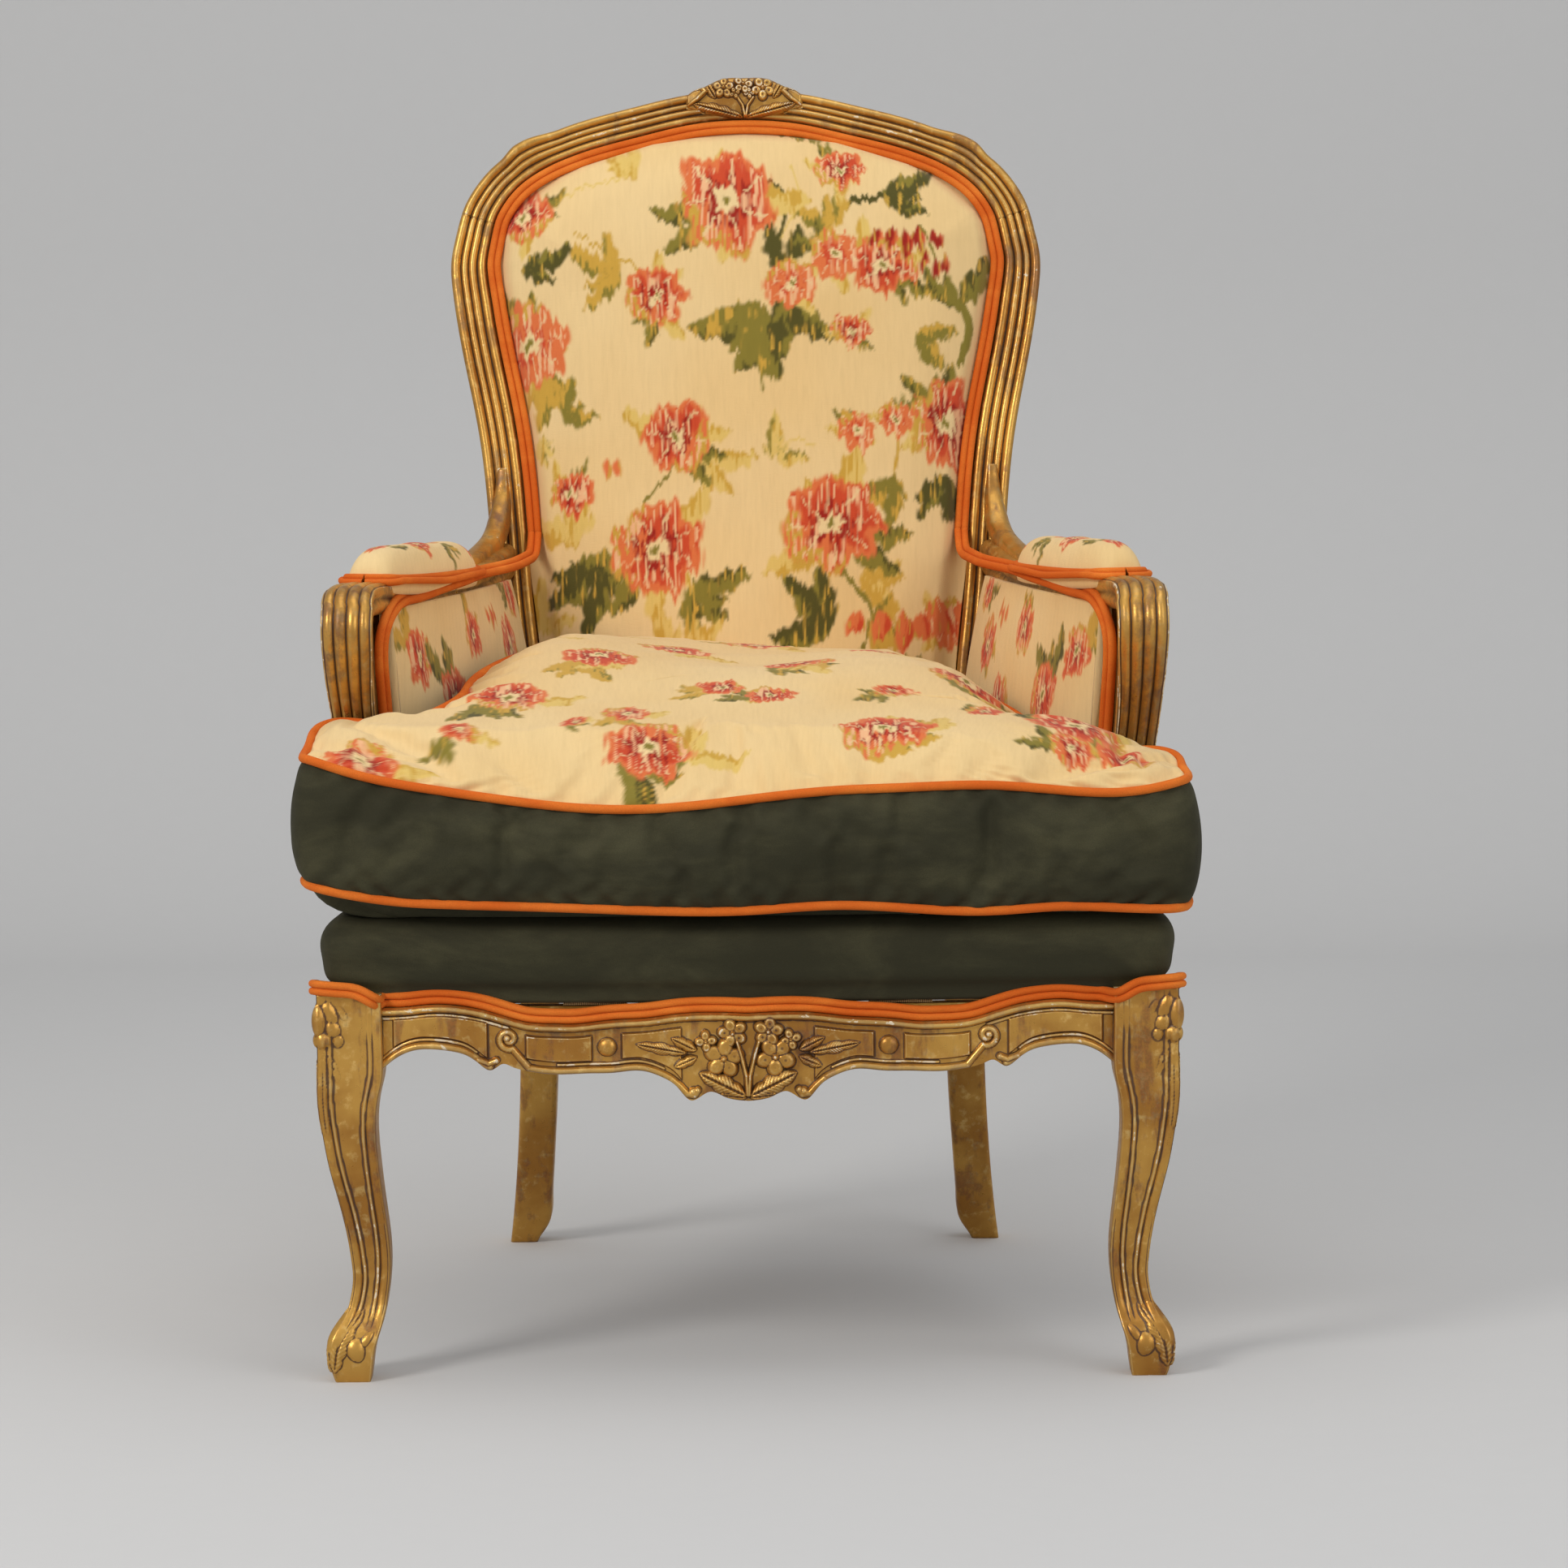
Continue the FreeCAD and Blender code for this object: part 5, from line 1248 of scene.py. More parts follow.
def back_print():
    cloth = Print((-240, 400), (240, 1020), 11)
    pale = (CORAL, CORAL, ROSE)
    for points, width, colour in (
            ([(-190, 905), (-160, 935), (-120, 950), (-96, 962)], 1.4, STRAW),
            ([(-150, 900), (-120, 885), (-100, 870), (-84, 850)], 1.5, MUSTARD),
            ([(-8, 930), (12, 944), (30, 938), (36, 915), (30, 890), (24, 862)], 2.2, MOSS),
            ([(40, 960), (46, 930), (30, 890)], 1.2, STRAW),
            ([(72, 872), (74, 905), (90, 925), (120, 935)], 3.0, MOSS),
            ([(24, 830), (10, 790), (16, 765)], 1.6, OLIVE),
            ([(20, 706), (40, 716), (60, 712)], 1.4, STRAW),
            ([(-60, 700), (-84, 672), (-98, 650)], 1.6, OLIVE),
            ([(72, 618), (96, 590), (110, 560), (96, 535)], 2.4, OLIVE),
            ([(155, 905), (166, 885), (172, 866)], 1.6, OLIVE),
            ([(182, 850), (196, 820), (190, 790)], 4.0, OLIVE),
            ([(130, 735), (132, 705), (126, 680)], 1.4, MUSTARD)):
        cloth.stem(points, width, colour)
    for u, v, size, turn, leaves, spread, colours in (
            (-92, 962, 42, 2.7, 5, 2.2, (STRAW, MUSTARD)), (-110, 868, 46, 2.9, 6, 2.4, (MUSTARD, OLIVE)),
            (40, 990, 44, 1.3, 5, 2.6, (OLIVE, MOSS)), (120, 935, 46, 0.2, 5, 1.4, (MOSS, OLIVE)),
            (80, 905, 40, 1.9, 5, 1.9, (MUSTARD, OLIVE)), (18, 836, 66, -2.3, 7, 2.0, (OLIVE, MOSS)),
            (30, 846, 58, -1.2, 6, 1.9, (MOSS, OLIVE)), (34, 866, 44, 1.7, 4, 1.3, (MOSS, MOSS)),
            (-198, 872, 44, 0.2, 4, 1.5, (MOSS, OLIVE)), (-176, 782, 50, -1.4, 5, 1.9, (MUSTARD, OLIVE)),
            (-165, 742, 36, 0.4, 5, 2.2, (OLIVE, MUSTARD)), (-184, 728, 30, -1.2, 4, 1.6, (STRAW, OLIVE)),
            (-40, 706, 46, -0.9, 5, 2.0, (STRAW, MUSTARD)), (20, 706, 34, 0.9, 5, 2.6, (STRAW, OLIVE)),
            (-128, 612, 62, -2.2, 7, 2.6, (MOSS, OLIVE)), (-140, 640, 52, 2.4, 6, 2.2, (STRAW, MUSTARD)),
            (-48, 594, 48, -0.7, 6, 2.0, (OLIVE, MOSS)), (100, 600, 42, -0.4, 5, 1.8, (MUSTARD, STRAW)),
            (128, 690, 48, -1.7, 5, 1.7, (OLIVE, MUSTARD)), (78, 560, 56, 2.6, 6, 1.9, (MOSS, OLIVE)),
            (104, 545, 50, 0.2, 5, 2.2, (MUSTARD, OLIVE)), (176, 690, 46, -1.9, 5, 1.6, (MOSS, OLIVE)),
            (190, 836, 46, 1.9, 5, 2.0, (OLIVE, MOSS)), (-58, 535, 44, 1.4, 6, 3.0, (STRAW, MUSTARD)),
            (-190, 560, 40, 0.6, 5, 2.0, (STRAW, MUSTARD)), (150, 815, 40, -0.6, 5, 1.6, (OLIVE, MUSTARD))):
        cloth.spray(u, v, size, turn, leaves, spread, colours)
    for u, v, size, turn, flat, colours in (
            (-16, 930, 45, -2.6, 1.05, None), (-197, 919, 25, 0.4, 1.0, None),
                                            (-80, 845, 29, -1.9, 0.95, None),
            (-192, 808, 36, 1.9, 1.05, pale), (40, 856, 25, -1.9, 0.9, pale), (79, 882, 24, 2.4, 0.95, pale),
            (122, 871, 31, -0.6, 0.85, None), (93, 814, 17, -0.9, 0.8, None), (84, 957, 22, 2.0, 0.9, None),
            (-62, 722, 33, -0.8, 0.95, None), (176, 735, 34, 1.9, 1.3, None), (131, 738, 16, 1.2, 1.0, pale),
            (96, 727, 17, 2.2, 1.1, pale), (-156, 676, 20, 1.2, 0.95, None), (-81, 624, 43, -2.6, 1.0, None),
            (74, 645, 46, -0.5, 0.95, None), (176, 560, 24, 0.5, 1.0, pale), (10, 508, 34, 0.5, 0.9, None),
            (-128, 500, 30, 2.0, 0.9, None), (132, 490, 30, 1.0, 0.9, None)):
        cloth.flower(u, v, size, turn, int(u + v) % 23, flat, colours or (CORAL, ROSE, RED))
    cloth.bells(142, 905, 30, 5, (RED, ROSE))
    cloth.bells(168, 885, 24, 3, (RED, CORAL))
    cloth.bells(134, 572, 44, 5, (CORAL, ROSE))
    cloth.bells(-118, 706, 24, 2, (CORAL, MUSTARD))
    return cloth


def make_inside_back():
    bottom, top, shoulder_top = 0.420, 1.0063, 1.0045
    turn = np.linspace(0, math.pi / 2, 330)
    z = bottom + (top - bottom) * (0.55 * np.sin(turn) + 0.45 * turn / turn[-1])
    half = np.where(z < shoulder_top, table(BACK_INNER, np.minimum(z, shoulder_top)), 0.045 * np.sqrt(
        np.clip((1.0066 - z) / 0.0021, 0, 1)))
    across = np.sin(np.linspace(-math.pi / 2, math.pi / 2, 290)) * 0.35 + np.linspace(-1, 1, 290) * 0.65
    x = across[None] * half[:, None]
    zz = np.broadcast_to(z[:, None], x.shape)
    edge = np.column_stack([BACK_INNER[:, 1], BACK_INNER[:, 0]])
    edge = np.concatenate([edge, edge[::-1] * MIRROR[:2]])
    gap, _ = near_line(x, zz, edge)
    form = [(0, -0.0085), (0.010, -0.006), (0.0135, -0.003), (0.017, 0.004), (0.026, 0.0125), (0.045, 0.021),
            (0.075, 0.028), (0.115, 0.0325), (0.17, 0.0345), (0.3, 0.0350)]
    out = table(form, np.clip(gap, 0, 0.3).reshape(-1)).reshape(gap.shape)
    out += (noise(x * 14, zz * 14, seed=3) * 0.0012 + noise(x * 40, zz * 40,
                                                            seed=4) * 0.0003) * eased(0.02, 0.06, gap)
    patch = two_sided(in_back(x, zz, out), in_back(x, zz, -0.0105))
    tint = back_print().at(x * MM, zz * MM).reshape(-1, 3)
    piece = clothed("inside_back_padded", patch, np.concatenate([tint, tint]),
                    ["inside_back_cover", "back_stuffing"])


def make_outside_back():
    bottom, top = 0.300, 1.012
    z = np.linspace(bottom, top, 90)
    edge = table(OUTLINE[:, ::-1][np.argsort(OUTLINE[:, 1])],
                 np.clip(z, OUTLINE[0, 1], OUTLINE[-1, 1])) - 0.019
    half = np.maximum(edge, 0.004)
    x = np.linspace(-1, 1, 70)[None] * half[:, None]
    zz = np.broadcast_to(z[:, None], x.shape)
    rim = np.minimum(half[:, None] - np.abs(x), np.minimum(zz - bottom, top - zz))
    out = 0.0348 + 0.0045 * np.sqrt(np.clip(rim / 0.05, 0, 1)) + noise(x * 12, zz * 12, seed=8) * 0.0005
    patch = two_sided(in_back(x, zz, -out)[:, ::-1], in_back(x, zz, -0.0340)[:, ::-1])
    cloth = Print((-240, 280), (240, 1020), 31)
    for number in range(22):
        u, v = -190 + (number * 137) % 380, 330 + (number * 211) % 640
        cloth.spray(u + 14, v - 14, 34, -0.9 + number, 4)
        cloth.blossom(u, v, 20 + 14 * ((number * 5) % 3) / 2, 6 + number % 3, 0.85, number)
    tint = cloth.at(x[:, ::-1] * MM, zz * MM).reshape(-1, 3)
    piece = clothed("outside_back_padded", patch, np.concatenate([tint, tint]), ["outside_back_cover"])


ARM_FRONT = SUPPORT_HALF - SUPPORT_AT
INNER_POINTS = 15


def arm_form_rings(stations=26):
    """Sections of the inside arm from the support back to the stile."""
    rear = BACK_PLANE + 0.022
    top, bottom = ARM_HEIGHT - 0.002, RAIL_TOP + 0.0025
    rise = np.linspace(0, 1, INNER_POINTS)
    rings = []
    for share in np.linspace(0, 1, stations):
        y = ARM_FRONT + (rear - ARM_FRONT) * share
        full = 0.008 * float(eased(0.0, 0.07, share)) + 0.004 * math.sin(math.pi * share)
        low, high = side_face(y) - 0.030, inner_arm(y)
        x = low + (high - low) * rise - full * np.sin(math.pi * rise) ** 0.8
        inner = np.column_stack([x, np.full(INNER_POINTS, y), bottom + (top - bottom) * rise])
        more = np.array([(high + 0.004, y, top), (high + 0.010, y, top - 0.004),
                         (high + 0.010, y, top - 0.014),
                         (side_face(y) - 0.0125, y, bottom + 0.01), (side_face(y) - 0.013, y, bottom)])
        rings.append(np.concatenate([inner, more]))
    return np.array(rings)


def arm_print(number):
    """One arm's cut of the cloth: the motifs shift a little from cut to cut."""
    cloth = Print((-180, 290), (230, 640), 21 + number)
    spots = [(-120, 560, 26), (-60, 520, 30), (10, 570, 24), (60, 500, 30), (130, 550, 26), (170, 590, 18),
             (-20, 450, 26), (110, 440, 26), (-110, 430, 22), (-70, 365, 30), (50, 370, 24), (150, 350, 28),
             (0, 320, 18)]
    for k, (u, v, size) in enumerate(spots):
        u = u + number * 9
        cloth.spray(u - 14, v + 12, size * 1.6, 2.4 - k, 5, 2.0, (OLIVE, MOSS) if k % 2 else (MUSTARD, OLIVE))
        cloth.blossom(u, v, size, 6 + k % 3, 0.9, k + number)
    cloth.bells(-90, 500, 30, 4)
    cloth.bells(90, 590, 26, 3)
    return cloth


def arm_tint(patch, number):
    """Colours for a right-hand arm piece, read from the side."""
    return arm_print(number).at(patch[0][:, 1] * MM, patch[0][:, 2] * MM)


def make_inside_arms():
    rings = arm_form_rings()
    knots = lengths(rings[:, 0])
    dense = np.swapaxes(cubic(knots, rings, np.linspace(0, knots[-1], 210)), 0, 1)
    inner, outer = dense[:INNER_POINTS], dense[INNER_POINTS:]
    rise = lengths(inner[:, 100])
    inner = np.swapaxes(cubic(rise, inner, np.linspace(0, rise[-1], 190)), 0, 1)
    puff = noise(inner[..., 1] * 16, inner[..., 2] * 16, seed=5) * 0.0011
    inner[..., 0] -= puff * eased(0.0, 0.03, inner[..., 2] - 0.33)
    patch = tube_patch(np.concatenate([inner, np.swapaxes(outer, 0, 1)], axis=1))
    for number, (side, form) in enumerate(both(patch)):
        piece = clothed("inside_arm_padded_" + side, form, arm_tint(patch, number),
                        ["inside_arm_cover_" + side, "inside_arm_stuffing_" + side])


def make_outside_arms():
    rear = BACK_PLANE + 0.014
    low, high = RAIL_TOP - 0.008, ARM_HEIGHT - 0.0108
    y = np.linspace(ARM_FRONT, rear, 120)[:, None]
    share = np.linspace(0, 1, 70)[None]
    x = side_face(y) - 0.010
    x = x + (inner_arm(y) + 0.028 - x) * share
    z = low + (high - low) * share
    rim = np.minimum(np.minimum(share, 1 - share) * 0.3, np.minimum(y - ARM_FRONT, rear - y))
    crown = 0.0015 + 0.004 * np.sqrt(np.clip(rim / 0.04, 0, 1)) + noise(y * 15, z * 15, seed=6) * 0.0005
    yy, zz = np.broadcast_to(y, x.shape), np.broadcast_to(z, x.shape)
    patch = two_sided(np.stack([x + crown, yy, zz], axis=-1), np.stack([x + 0.0002, yy, zz], axis=-1))
    for number, (side, form) in enumerate(both(patch)):
        piece = clothed("outside_arm_padded_" + side, form, arm_tint(patch, number + 2),
                        ["outside_arm_cover_" + side])


def make_arm_pads():
    count = 150
    line = arm_line()
    knots = lengths(line)
    first = 0.17 * knots[-1]
    places = cubic(knots, line, np.linspace(first, first + 0.246 * knots[-1] / 0.490, count))
    direction = unit(np.gradient(places, axis=0))
    across = unit(np.cross(direction, UP))
    across = np.where((across @ RIGHT)[:, None] < 0, -across, across)
    lift = unit(np.cross(across, direction))
    lift = np.where(lift[:, 2:] < 0, -lift, lift)
    share = np.linspace(0, 1, count)
    full = np.clip(1 - np.abs(share * 2 - 1) ** 7, 0, 1) ** 0.5
    half = 0.0235 * (0.55 + 0.45 * full)
    tall = (0.030 * full + 0.004) * (1 + 0.04 * noise(share * 9, seed=3))
    at = np.linspace(-1, 1, 61)
    crown = np.column_stack([np.sign(at) * np.abs(at) ** 0.86, (1 - np.abs(at) ** 2.6) ** 0.62])
    shape = np.concatenate([crown, np.column_stack([np.linspace(0.94, -0.94, 9), np.full(9, -0.18)])])
    grid = []
    for place, a, b, h, t in zip(places, across, lift, half, tall):
        local = np.column_stack([shape[:, 0] * h, 0.0085 + shape[:, 1] * t])
        grid.append(place + a * local[:, :1] + b * local[:, 1:])
    patch = tube_patch(np.array(grid))

    seam = 0.0135
    edge = [places[k] + across[k] * hand * (half[k] + 0.0012) + lift[k] * seam
            for hand, keys in ((1, range(4, 146, 6)), (-1, range(145, 3, -6))) for k in keys]
    end = places[-1] + direction[-1] * 0.0035 + lift[-1] * seam
    start = places[0] - direction[0] * 0.0030 + lift[0] * seam
    middle = len(edge) // 2
    path = smooth(np.array([start] + edge[:middle] + [end] + edge[middle:] + [start]), 420)
    out = unit(unit((path - places[::6].mean(0)) * np.array([1, 1, 0])) * 0.75 + UP * 0.65)
    for side, form in both(double_welt(path, out, 0.0105, 0.0046)):
        welted("arm_pad_welt_" + side, form)

    run = lengths(places) * MM
    u = np.append(np.broadcast_to(shape[:, 0] * 40, (count, len(shape))), [0, 0])
    v = np.append(np.broadcast_to(run[:, None], (count, len(shape))), [0, run[-1]])
    for number, (side, form) in enumerate(both(patch)):
        cloth = Print((-50, -10), (50, 270), 41 + number)
        for k in range(4):
            cloth.spray(-12 + 20 * (k % 2), 36 + 64 * k, 30, 1.2 + k, 5, 2.2)
            cloth.blossom(8 - 18 * (k % 2), 30 + 64 * k, 17 + 3 * (k % 2), 7, 0.9, k + number)
        piece = clothed("arm_pad_sewn_" + side, form, cloth.at(u, v),
                        ["arm_pad_cover_" + side, "arm_pad_stuffing_" + side])


# Seat deck and cushion

def ear_back(gap):
    """Depth at which the cushion's or the deck's ears end, in front of the arm supports."""
    return -(SUPPORT_AT + SUPPORT_HALF + 0.014 + gap)


def seat_plan(front, half_front, back, gap, bow):
    """Outline of a seat form with ears in front of the arms, from the middle of its front round."""
    ear = ear_back(gap)
    inset = 0.030 + 0.008 + gap
    ear_in, rear_half = side_face(ear) - inset, side_face(back) - inset
    depth = front + ear
    right = [(half_front * k, -front - bow * (1 - k * k)) for k in (0.0, 0.2, 0.35, 0.55, 0.7, 0.9)]
    right += [(half_front - 0.006, -front + 0.005), (half_front, -front + 0.022),
              (half_front - 0.001, -front + depth * 0.6), (half_front - 0.006, ear - 0.012),
              (half_front - 0.020, ear),
              (ear_in + 0.008, ear), (ear_in - 0.003, ear + 0.009)]
    right += [((ear_in * (3 - k) + rear_half * k) / 3 - 0.003, ear + (back - ear) * k / 3) for k in (1, 2)]
    right += [(rear_half - 0.001, back - 0.026), (rear_half - 0.008, back - 0.008), (rear_half - 0.026, back)]
    left = [(-x, y) for x, y in reversed(right[1:])]
    return np.array(right + left)


def offset_plan(points, distance):
    before = unit(points - np.roll(points, 1, axis=0))
    after = unit(np.roll(points, -1, axis=0) - points)
    first = np.column_stack([before[:, 1], -before[:, 0]])
    normal = unit(first + np.column_stack([after[:, 1], -after[:, 0]]))
    stretch = np.maximum(0.5, (normal * first).sum(1))
    return points + normal * (distance / stretch)[:, None]


def at_height(points, height):
    return np.column_stack([points, np.full(len(points), height)])


def shrunk(points, share):
    """An outline drawn in toward the middle of the seat."""
    middle = np.array([0, ear_back(0)])
    shift = np.array([0, KNEE_FRONT * 0.3 * share * share])
    return points + (middle - points) * share + shift


def make_deck():
    front = KNEE_FRONT - 0.017
    bulge = 0.012
    plan = seat_plan(front, KNEE_OUT - 0.001 - bulge, BACK_PLANE - 0.004 - bulge, bulge + 0.001, 0.014)
    low = RAIL_TOP + 0.0025
    tall = DECK_TOP - low
    levels = [(low, 0), (low + 0.012, 0.003), (low + tall * 0.25, 0.0072), (low + tall * 0.45, 0.0105),
              (low + tall * 0.65, 0.012), (low + tall * 0.82, 0.0082), (low + tall * 0.94, 0.0)]
    rings = [at_height(offset_plan(plan, out), height) for height, out in levels]
    rings.append(at_height(offset_plan(plan, -0.008), DECK_TOP))
    for share in (0.12, 0.3, 0.5, 0.7, 0.88, 0.99):
        rings.append(at_height(shrunk(offset_plan(plan, -0.008), share), DECK_TOP))
    grid = surface(rings, 150, 520)
    grid[..., 2] = np.minimum(grid[..., 2], DECK_TOP + 0.0002)
    folds = noise(grid[..., 0] * 9, grid[..., 2] * 22, seed=12) * 0.0012 * eased(0, 0.02,
                                                                                 grid[..., 2] - 0.315)
    folds *= 1 - eased(DECK_TOP - 0.006, DECK_TOP, grid[..., 2])
    grid[..., 1] += folds * (grid[..., 1] < -0.25)
    piece = build("seat_cover_sewn", tube_patch(grid), GREEN,
                  stands_for=["seat_cover", "seat_stuffing"])


CUSHION_BASE = 0.3705
TOP_SEAM = [(-0.345, 0.4960), (-0.335, 0.4960), (-0.300, 0.4830), (-0.264, 0.4760), (-0.180, 0.4640),
            (-0.087, 0.4570),
            (0.0, 0.4640), (0.060, 0.4700), (0.114, 0.4720), (0.177, 0.4735), (0.240, 0.4690),
            (0.297, 0.4660),
            (0.339, 0.4740), (0.345, 0.4750)]
LOW_SEAM = [(-0.345, 0.3985), (-0.300, 0.3890), (-0.200, 0.3820), (-0.100, 0.3785), (0.0, 0.3770),
            (0.080, 0.3805),
            (0.177, 0.3745), (0.260, 0.3775), (0.330, 0.3740), (0.345, 0.3745)]


def seam_heights(points):
    """Heights of the lower and upper seams, which sag and rise with the filling."""
    x, y = points[:, 0], points[:, 1]
    toward = eased(-0.315, -0.19, y)
    left = table([(-0.345, 0.497), (-0.16, 0.524), (0.05, 0.548), (0.17, 0.546)], y)
    right = table([(-0.345, 0.475), (-0.16, 0.493), (0.05, 0.512), (0.17, 0.520)], y)
    hand = eased(-0.16, 0.16, x)
    top = table(TOP_SEAM, x) * (1 - toward) + (left * (1 - hand) + right * hand) * toward
    return table(LOW_SEAM, x) * (1 - toward) + 0.392 * toward, top


def crown_height(points):
    """Height of the soft top, fullest at the left and hollowed where it's sat on."""
    x, y = points[:, 0], points[:, 1]
    height = 0.5385 + 0.0200 * np.exp(-((x + 0.175) / 0.085) ** 2 - ((y - 0.03) / 0.15) ** 2)
    height += 0.0060 * np.exp(-((x - 0.13) / 0.07) ** 2 - ((y - 0.0) / 0.12) ** 2)
    height -= 0.0060 * np.exp(-(x / 0.05) ** 2 - ((y + 0.03) / 0.14) ** 2)
    height -= 0.0300 * (1 - eased(-0.27, -0.08, y))
    return height + 0.0028 * noise(x * 11, y * 11, seed=61, octaves=2)


def cushion_rings():
    """Sewn rings of the loose cushion from the middle of its underside up to the middle of its crown."""
    plan = seat_plan(0.326, 0.345, 0.168, 0.0085, 0.014)
    low, top = seam_heights(plan)
    under = [at_height(shrunk(offset_plan(plan, -0.009), k), CUSHION_BASE) for k in (0.98, 0.8, 0.6, 0.4, 0.2,
                                                                                     0.08)]
    under += [np.column_stack([offset_plan(plan, -0.016),
                               np.minimum(low - 0.004, low * 0.55 + CUSHION_BASE * 0.45)]),
              np.column_stack([offset_plan(plan, 0), low])]
    middle = [np.column_stack([offset_plan(plan, out), low + (top - low) * k])
              for k,
              out in ((0.0, 0.0), (0.15, 0.005), (0.35, 0.0078), (0.6, 0.0082), (0.85, 0.0045), (1.0, 0.0))]
    crown = [np.column_stack([plan, top])]
    for share, rise in ((0.04, 0.17), (0.08, 0.30), (0.14, 0.46), (0.2, 0.60), (0.28, 0.74), (0.38, 0.86),
                        (0.5, 0.94),
                        (0.62, 0.98), (0.75, 1.0), (0.87, 1.0), (0.98, 1.0)):
        ring = shrunk(plan, share)
        crown.append(np.column_stack([ring, top * (1 - rise) + crown_height(ring) * rise]))
    return under, middle, crown


def simulate(points, faces, pinned, pressure, frames, slack, limit):
    """Lets a closed cloth form fill out under pressure; its points move no further than the limit."""
    mesh = bpy.data.meshes.new("cloth_form")
    mesh.from_pydata([tuple(p) for p in points], [],
                     [tuple(int(i) for i in f) for part in faces for f in part])
    form = bpy.data.objects.new("cloth_form", mesh)
    bpy.context.scene.collection.objects.link(form)
    group = form.vertex_groups.new(name="sewn")
    group.add([int(i) for i in pinned], 1.0, "REPLACE")
    cloth = form.modifiers.new("Cloth", "CLOTH")
    cloth.settings.quality = 6
    cloth.settings.mass = 0.3
    cloth.settings.tension_stiffness = 12
    cloth.settings.compression_stiffness = 6
    cloth.settings.shear_stiffness = 4
    cloth.settings.bending_stiffness = 0.12
    cloth.settings.vertex_group_mass = "sewn"
    cloth.settings.shrink_min = -slack
    cloth.settings.use_pressure = True
    cloth.settings.uniform_pressure_force = pressure
    cloth.settings.effector_weights.gravity = 0
    cloth.collision_settings.use_collision = False
    cloth.point_cache.frame_start, cloth.point_cache.frame_end = 1, frames
    for number in range(1, frames + 1):
        bpy.context.scene.frame_set(number)
    shaped = form.evaluated_get(bpy.context.evaluated_depsgraph_get())
    moved = np.empty(len(points) * 3, np.float32)
    shaped.data.vertices.foreach_get("co", moved)
    moved = moved.reshape(-1, 3).astype(float)
    bpy.data.objects.remove(form)
    bpy.data.meshes.remove(mesh)
    bpy.context.scene.frame_set(1)
    shift = moved - points
    size = np.linalg.norm(shift, axis=1, keepdims=True)
    return points + shift * np.minimum(1, limit / np.maximum(size, 1e-9))


def cushion_print():
    cloth = Print((-380, -30), (380, 620), 51)
    blossoms = [(-300, 30, 34), (-225, 70, 18), (-190, 165, 36), (-95, 120, 22), (-75, 58, 40),
                (-135, 96, 14),
                (110, 72, 44), (190, 130, 18), (262, 110, 44), (300, 70, 26), (255, 62, 22), (20, 170, 24),
                (-20, 190, 22), (120, 185, 20), (-250, 240, 30), (-120, 270, 36), (40, 280, 34),
                (180, 260, 36),
                (-60, 370, 34), (110, 380, 30), (-180, 380, 28), (10, 470, 34), (-130, 480, 26),
                (140, 480, 28)]
    for number, (u, v, size) in enumerate(blossoms):
        cloth.spray(u - size * 0.5, v - size * 0.4, size * 1.5, 3.6 + 0.5 * number, 5, 2.0,
                    (OLIVE, MOSS) if number % 3 else (MUSTARD, OLIVE))
        cloth.spray(u + size * 0.5, v - size * 0.3, size * 1.3, -0.5 + 0.3 * number, 4, 1.6, (STRAW, MUSTARD))
        cloth.blossom(u, v, size * 0.92, 7 + number % 3, 0.95, number)
    return cloth


def make_cushion():
    around, fine = 216, 1000
    under_rows, side_rows, crown_rows = 16, 12, 40
    parts = [surface(rings, rows, around)
             for rings, rows in zip(cushion_rings(), (under_rows, side_rows, crown_rows))]
    grid = np.concatenate([parts[0], parts[1][1:], parts[2][1:]])
    rows = len(grid)
    low_row, top_row = under_rows - 1, under_rows + side_rows - 2
    points, faces = tube_patch(grid)
    index = np.arange(rows * around).reshape(rows, around)
    pinned = np.concatenate([index[low_row], index[top_row], index[:low_row - 1].reshape(-1)])
    points = simulate(points, faces, pinned, pressure=3.0, frames=22, slack=0.035, limit=0.014)
    grid = points[:rows * around].reshape(rows, around, 3)
    grid[..., 2] = np.maximum(grid[..., 2], CUSHION_BASE)

    bottom = surface(grid[:low_row + 1], 40, fine)
    border = surface(grid[low_row:top_row + 1], 44, fine)
    top = surface(grid[top_row:], 150, fine)
    fold_border(border)
    pucker_top(top)
    points, faces = tube_patch(np.concatenate([bottom[:-1], border[:-1], top]))
    first_top = len(bottom) + len(border) - 2

    # The print runs back over the crown along the middle of the top.
    middle = top[:, 0]
    run, order = lengths(middle), np.argsort(middle[:, 1])
    along = np.interp(points[:, 1], middle[order, 1], run[order])
    beyond = np.maximum(0, points[:, 1] - middle[:, 1].max())
    tint = cushion_print().at(points[:, 0] * MM, (along + beyond) * MM)
    piece = build("seat_cushion_sewn", (points, faces), CLOTH, body="seat_cushion",
                  stands_for=["cushion_cover", "cushion_core"], values={"print": tint})
    piece.data.materials.append(GREEN)
    which = np.ones(len(piece.data.polygons), np.int32)
    which[first_top * fine:(first_top + len(top) - 1) * fine] = 0
    which[-fine:] = 0
    piece.data.polygons.foreach_set("material_index", which)
    for row, name in ((low_row, "bottom"), (top_row, "top")):
        seam = ring_through(grid[row], 700)
        out = unit(seam - np.array([0, -0.08, 0]) - UP * seam[:, 2:])
        welted("cushion_piping_velvet_" + name, tube(seam + out * 0.0022, 0.0036, 12, closed=True),
               ["cushion_piping_" + name], "seat_cushion")


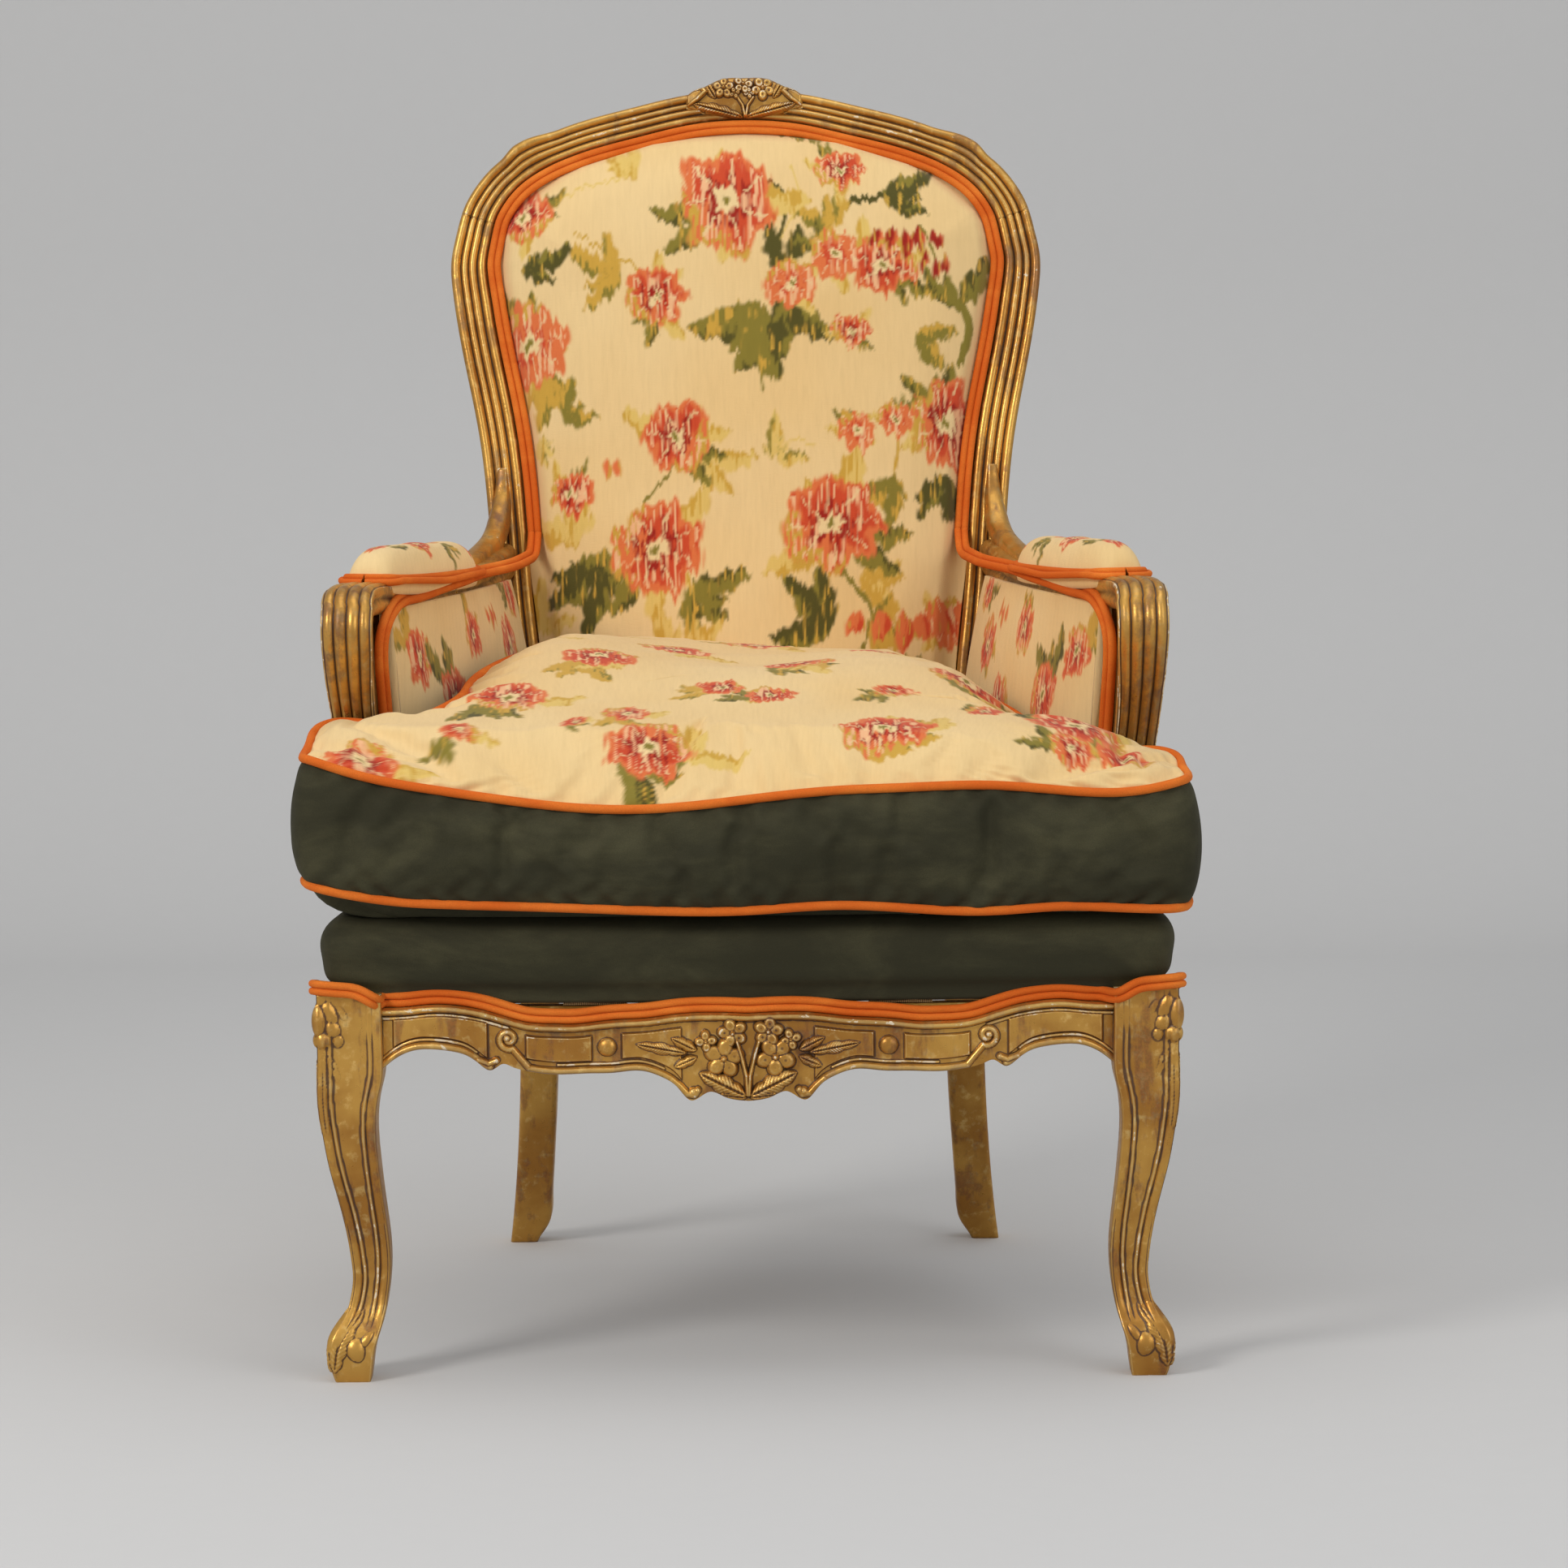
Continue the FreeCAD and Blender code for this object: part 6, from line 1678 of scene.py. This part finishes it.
def fold_border(border):
    """Creases across the border, steep on the right and slanted on the left."""
    x, z = border[..., 0], border[..., 2]
    inset = np.sin(np.linspace(0, math.pi, len(border)))[:, None] ** 0.7 * (border[..., 1] < -0.24)
    upright = eased(0.02, 0.08, x) * (1 - eased(0.30, 0.335, x))
    slanted = 1 - eased(-0.16, -0.04, x)
    folds = upright * np.abs(noise(x * 30 + 0.5 * noise(z * 30, x * 6, seed=70), z * 6,
                                   seed=71)) ** 0.7 * 0.0042
    folds += slanted * np.abs(noise((x + z) * 17, (z - x * 0.4) * 26, seed=72)) ** 0.8 * 0.0026
    folds += 0.0010 * noise(x * 60, z * 40, seed=73)
    border[..., 1] += (0.0030 * (upright + slanted) - folds) * inset


def pucker_top(top):
    """Small puckers along the top seam, and a little unevenness over the rest."""
    turn = np.linspace(0, 1, top.shape[1], endpoint=False)[None] * 2 * math.pi
    share = np.linspace(0, 1, len(top))
    near = np.exp(-share / 0.05)[:, None] * (1 - np.exp(-share / 0.008))[:, None]
    top[..., 2] += near * 0.0022 * noise(np.cos(turn) * 20, np.sin(turn) * 20, seed=74, octaves=2)
    top[..., 2] += 0.0006 * noise(top[..., 0] * 40, top[..., 1] * 40, seed=75) * (1 - near)


# Plain parts kept from the CAD model

def dress_nodes():
    for name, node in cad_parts.items():
        if node.hide_render:
            continue
        node.data.materials.clear()
        if "corner_block" in name:
            node.data.materials.append(BEECH)
        elif name in ("seat_webbing", "seat_hessian"):
            node.data.materials.append(JUTE)
        else:
            node.data.materials.append(GILT_PLAIN)


# Studio

def make_studio():
    n = Nodes("studio_paper")
    fine = n.noise(40, 3, 0.5)
    grey = n.mix(n.step(fine, 0.3, 0.7, 0.0, 0.03), srgb(197, 197, 197), srgb(180, 180, 181))
    seen = n.tree.nodes.new("ShaderNodeLightPath").outputs["Is Camera Ray"]
    n.set(Base_Color=grey, Roughness=0.95, Specular_IOR_Level=0.1, Emission_Color=srgb(200, 200, 200))
    n.set(Emission_Strength=n.times(seen, 0.13))
    profile = [(-9.0, 0.0), (2.2, 0.0)]
    profile += [(2.2 + 0.9 * math.sin(t), 0.9 - 0.9 * math.cos(t)) for t in np.linspace(0.05, math.pi / 2,
                                                                                        16)]
    profile += [(3.1, 6.0)]
    x = np.linspace(-9, 9, 3)
    grid = np.array([[(a, y, z) for a in x] for y, z in profile])
    points, faces = flat_patch(grid)
    mesh = bpy.data.meshes.new("studio_floor")
    mesh.from_pydata([tuple(p) for p in points], [],
                     [tuple(int(i) for i in f[::-1]) for part in faces for f in part])
    mesh.polygons.foreach_set("use_smooth", np.ones(len(mesh.polygons), bool))
    floor = bpy.data.objects.new("studio_floor", mesh)
    bpy.context.scene.collection.objects.link(floor)
    mesh.materials.append(n.material)
    world = bpy.data.worlds.new("studio_air")
    world.use_nodes = True
    world.node_tree.nodes["Background"].inputs["Color"].default_value = (0.90, 0.90, 0.90, 1)
    world.node_tree.nodes["Background"].inputs["Strength"].default_value = 0.55
    bpy.context.scene.world = world
    for name, place, size, power, warm in (
            ("key_light", (-2.5, -2.7, 2.5), 1.1, 64, (1.0, 0.97, 0.93)),
            ("fill_light", (2.6, -2.6, 1.9), 2.2, 26, (0.98, 0.99, 1.0)),
            ("top_light", (0.2, -0.3, 3.2), 2.4, 22, (1.0, 1.0, 1.0))):
        light = bpy.data.lights.new(name, "AREA")
        light.shape = "SQUARE"
        light.size = size
        light.energy = power
        light.color = warm
        lamp = bpy.data.objects.new(name, light)
        lamp.location = place
        lamp.rotation_euler = (Vector((0, 0, 0.55)) - Vector(place)).to_track_quat("-Z", "Y").to_euler()
        bpy.context.scene.collection.objects.link(lamp)


def make_camera():
    data = bpy.data.cameras.new("photo_camera")
    data.sensor_width = 36
    data.sensor_fit = "HORIZONTAL"
    data.lens = 120.2
    camera = bpy.data.objects.new("photo_camera", data)
    camera.location = (0.03, -4.39, 0.88)
    camera.rotation_mode = "XYZ"
    tilt = math.radians(90 - 5.7)
    turn = Matrix.Rotation(tilt, 4, "X") @ Matrix.Rotation(math.radians(-0.5), 4, "Z")
    camera.rotation_euler = turn.to_euler()
    bpy.context.scene.collection.objects.link(camera)
    bpy.context.scene.camera = camera


bpy.context.scene.view_settings.view_transform = "Standard"
make_camera()
make_studio()
make_back_frame()
make_front_legs()
make_front_rail()
make_arms()
make_back_welt()
make_seat_welt()
make_arm_welts()
make_inside_back()
make_outside_back()
make_inside_arms()
make_outside_arms()
make_arm_pads()
make_deck()
make_cushion()
dress_nodes()

bpy.context.view_layer.update()
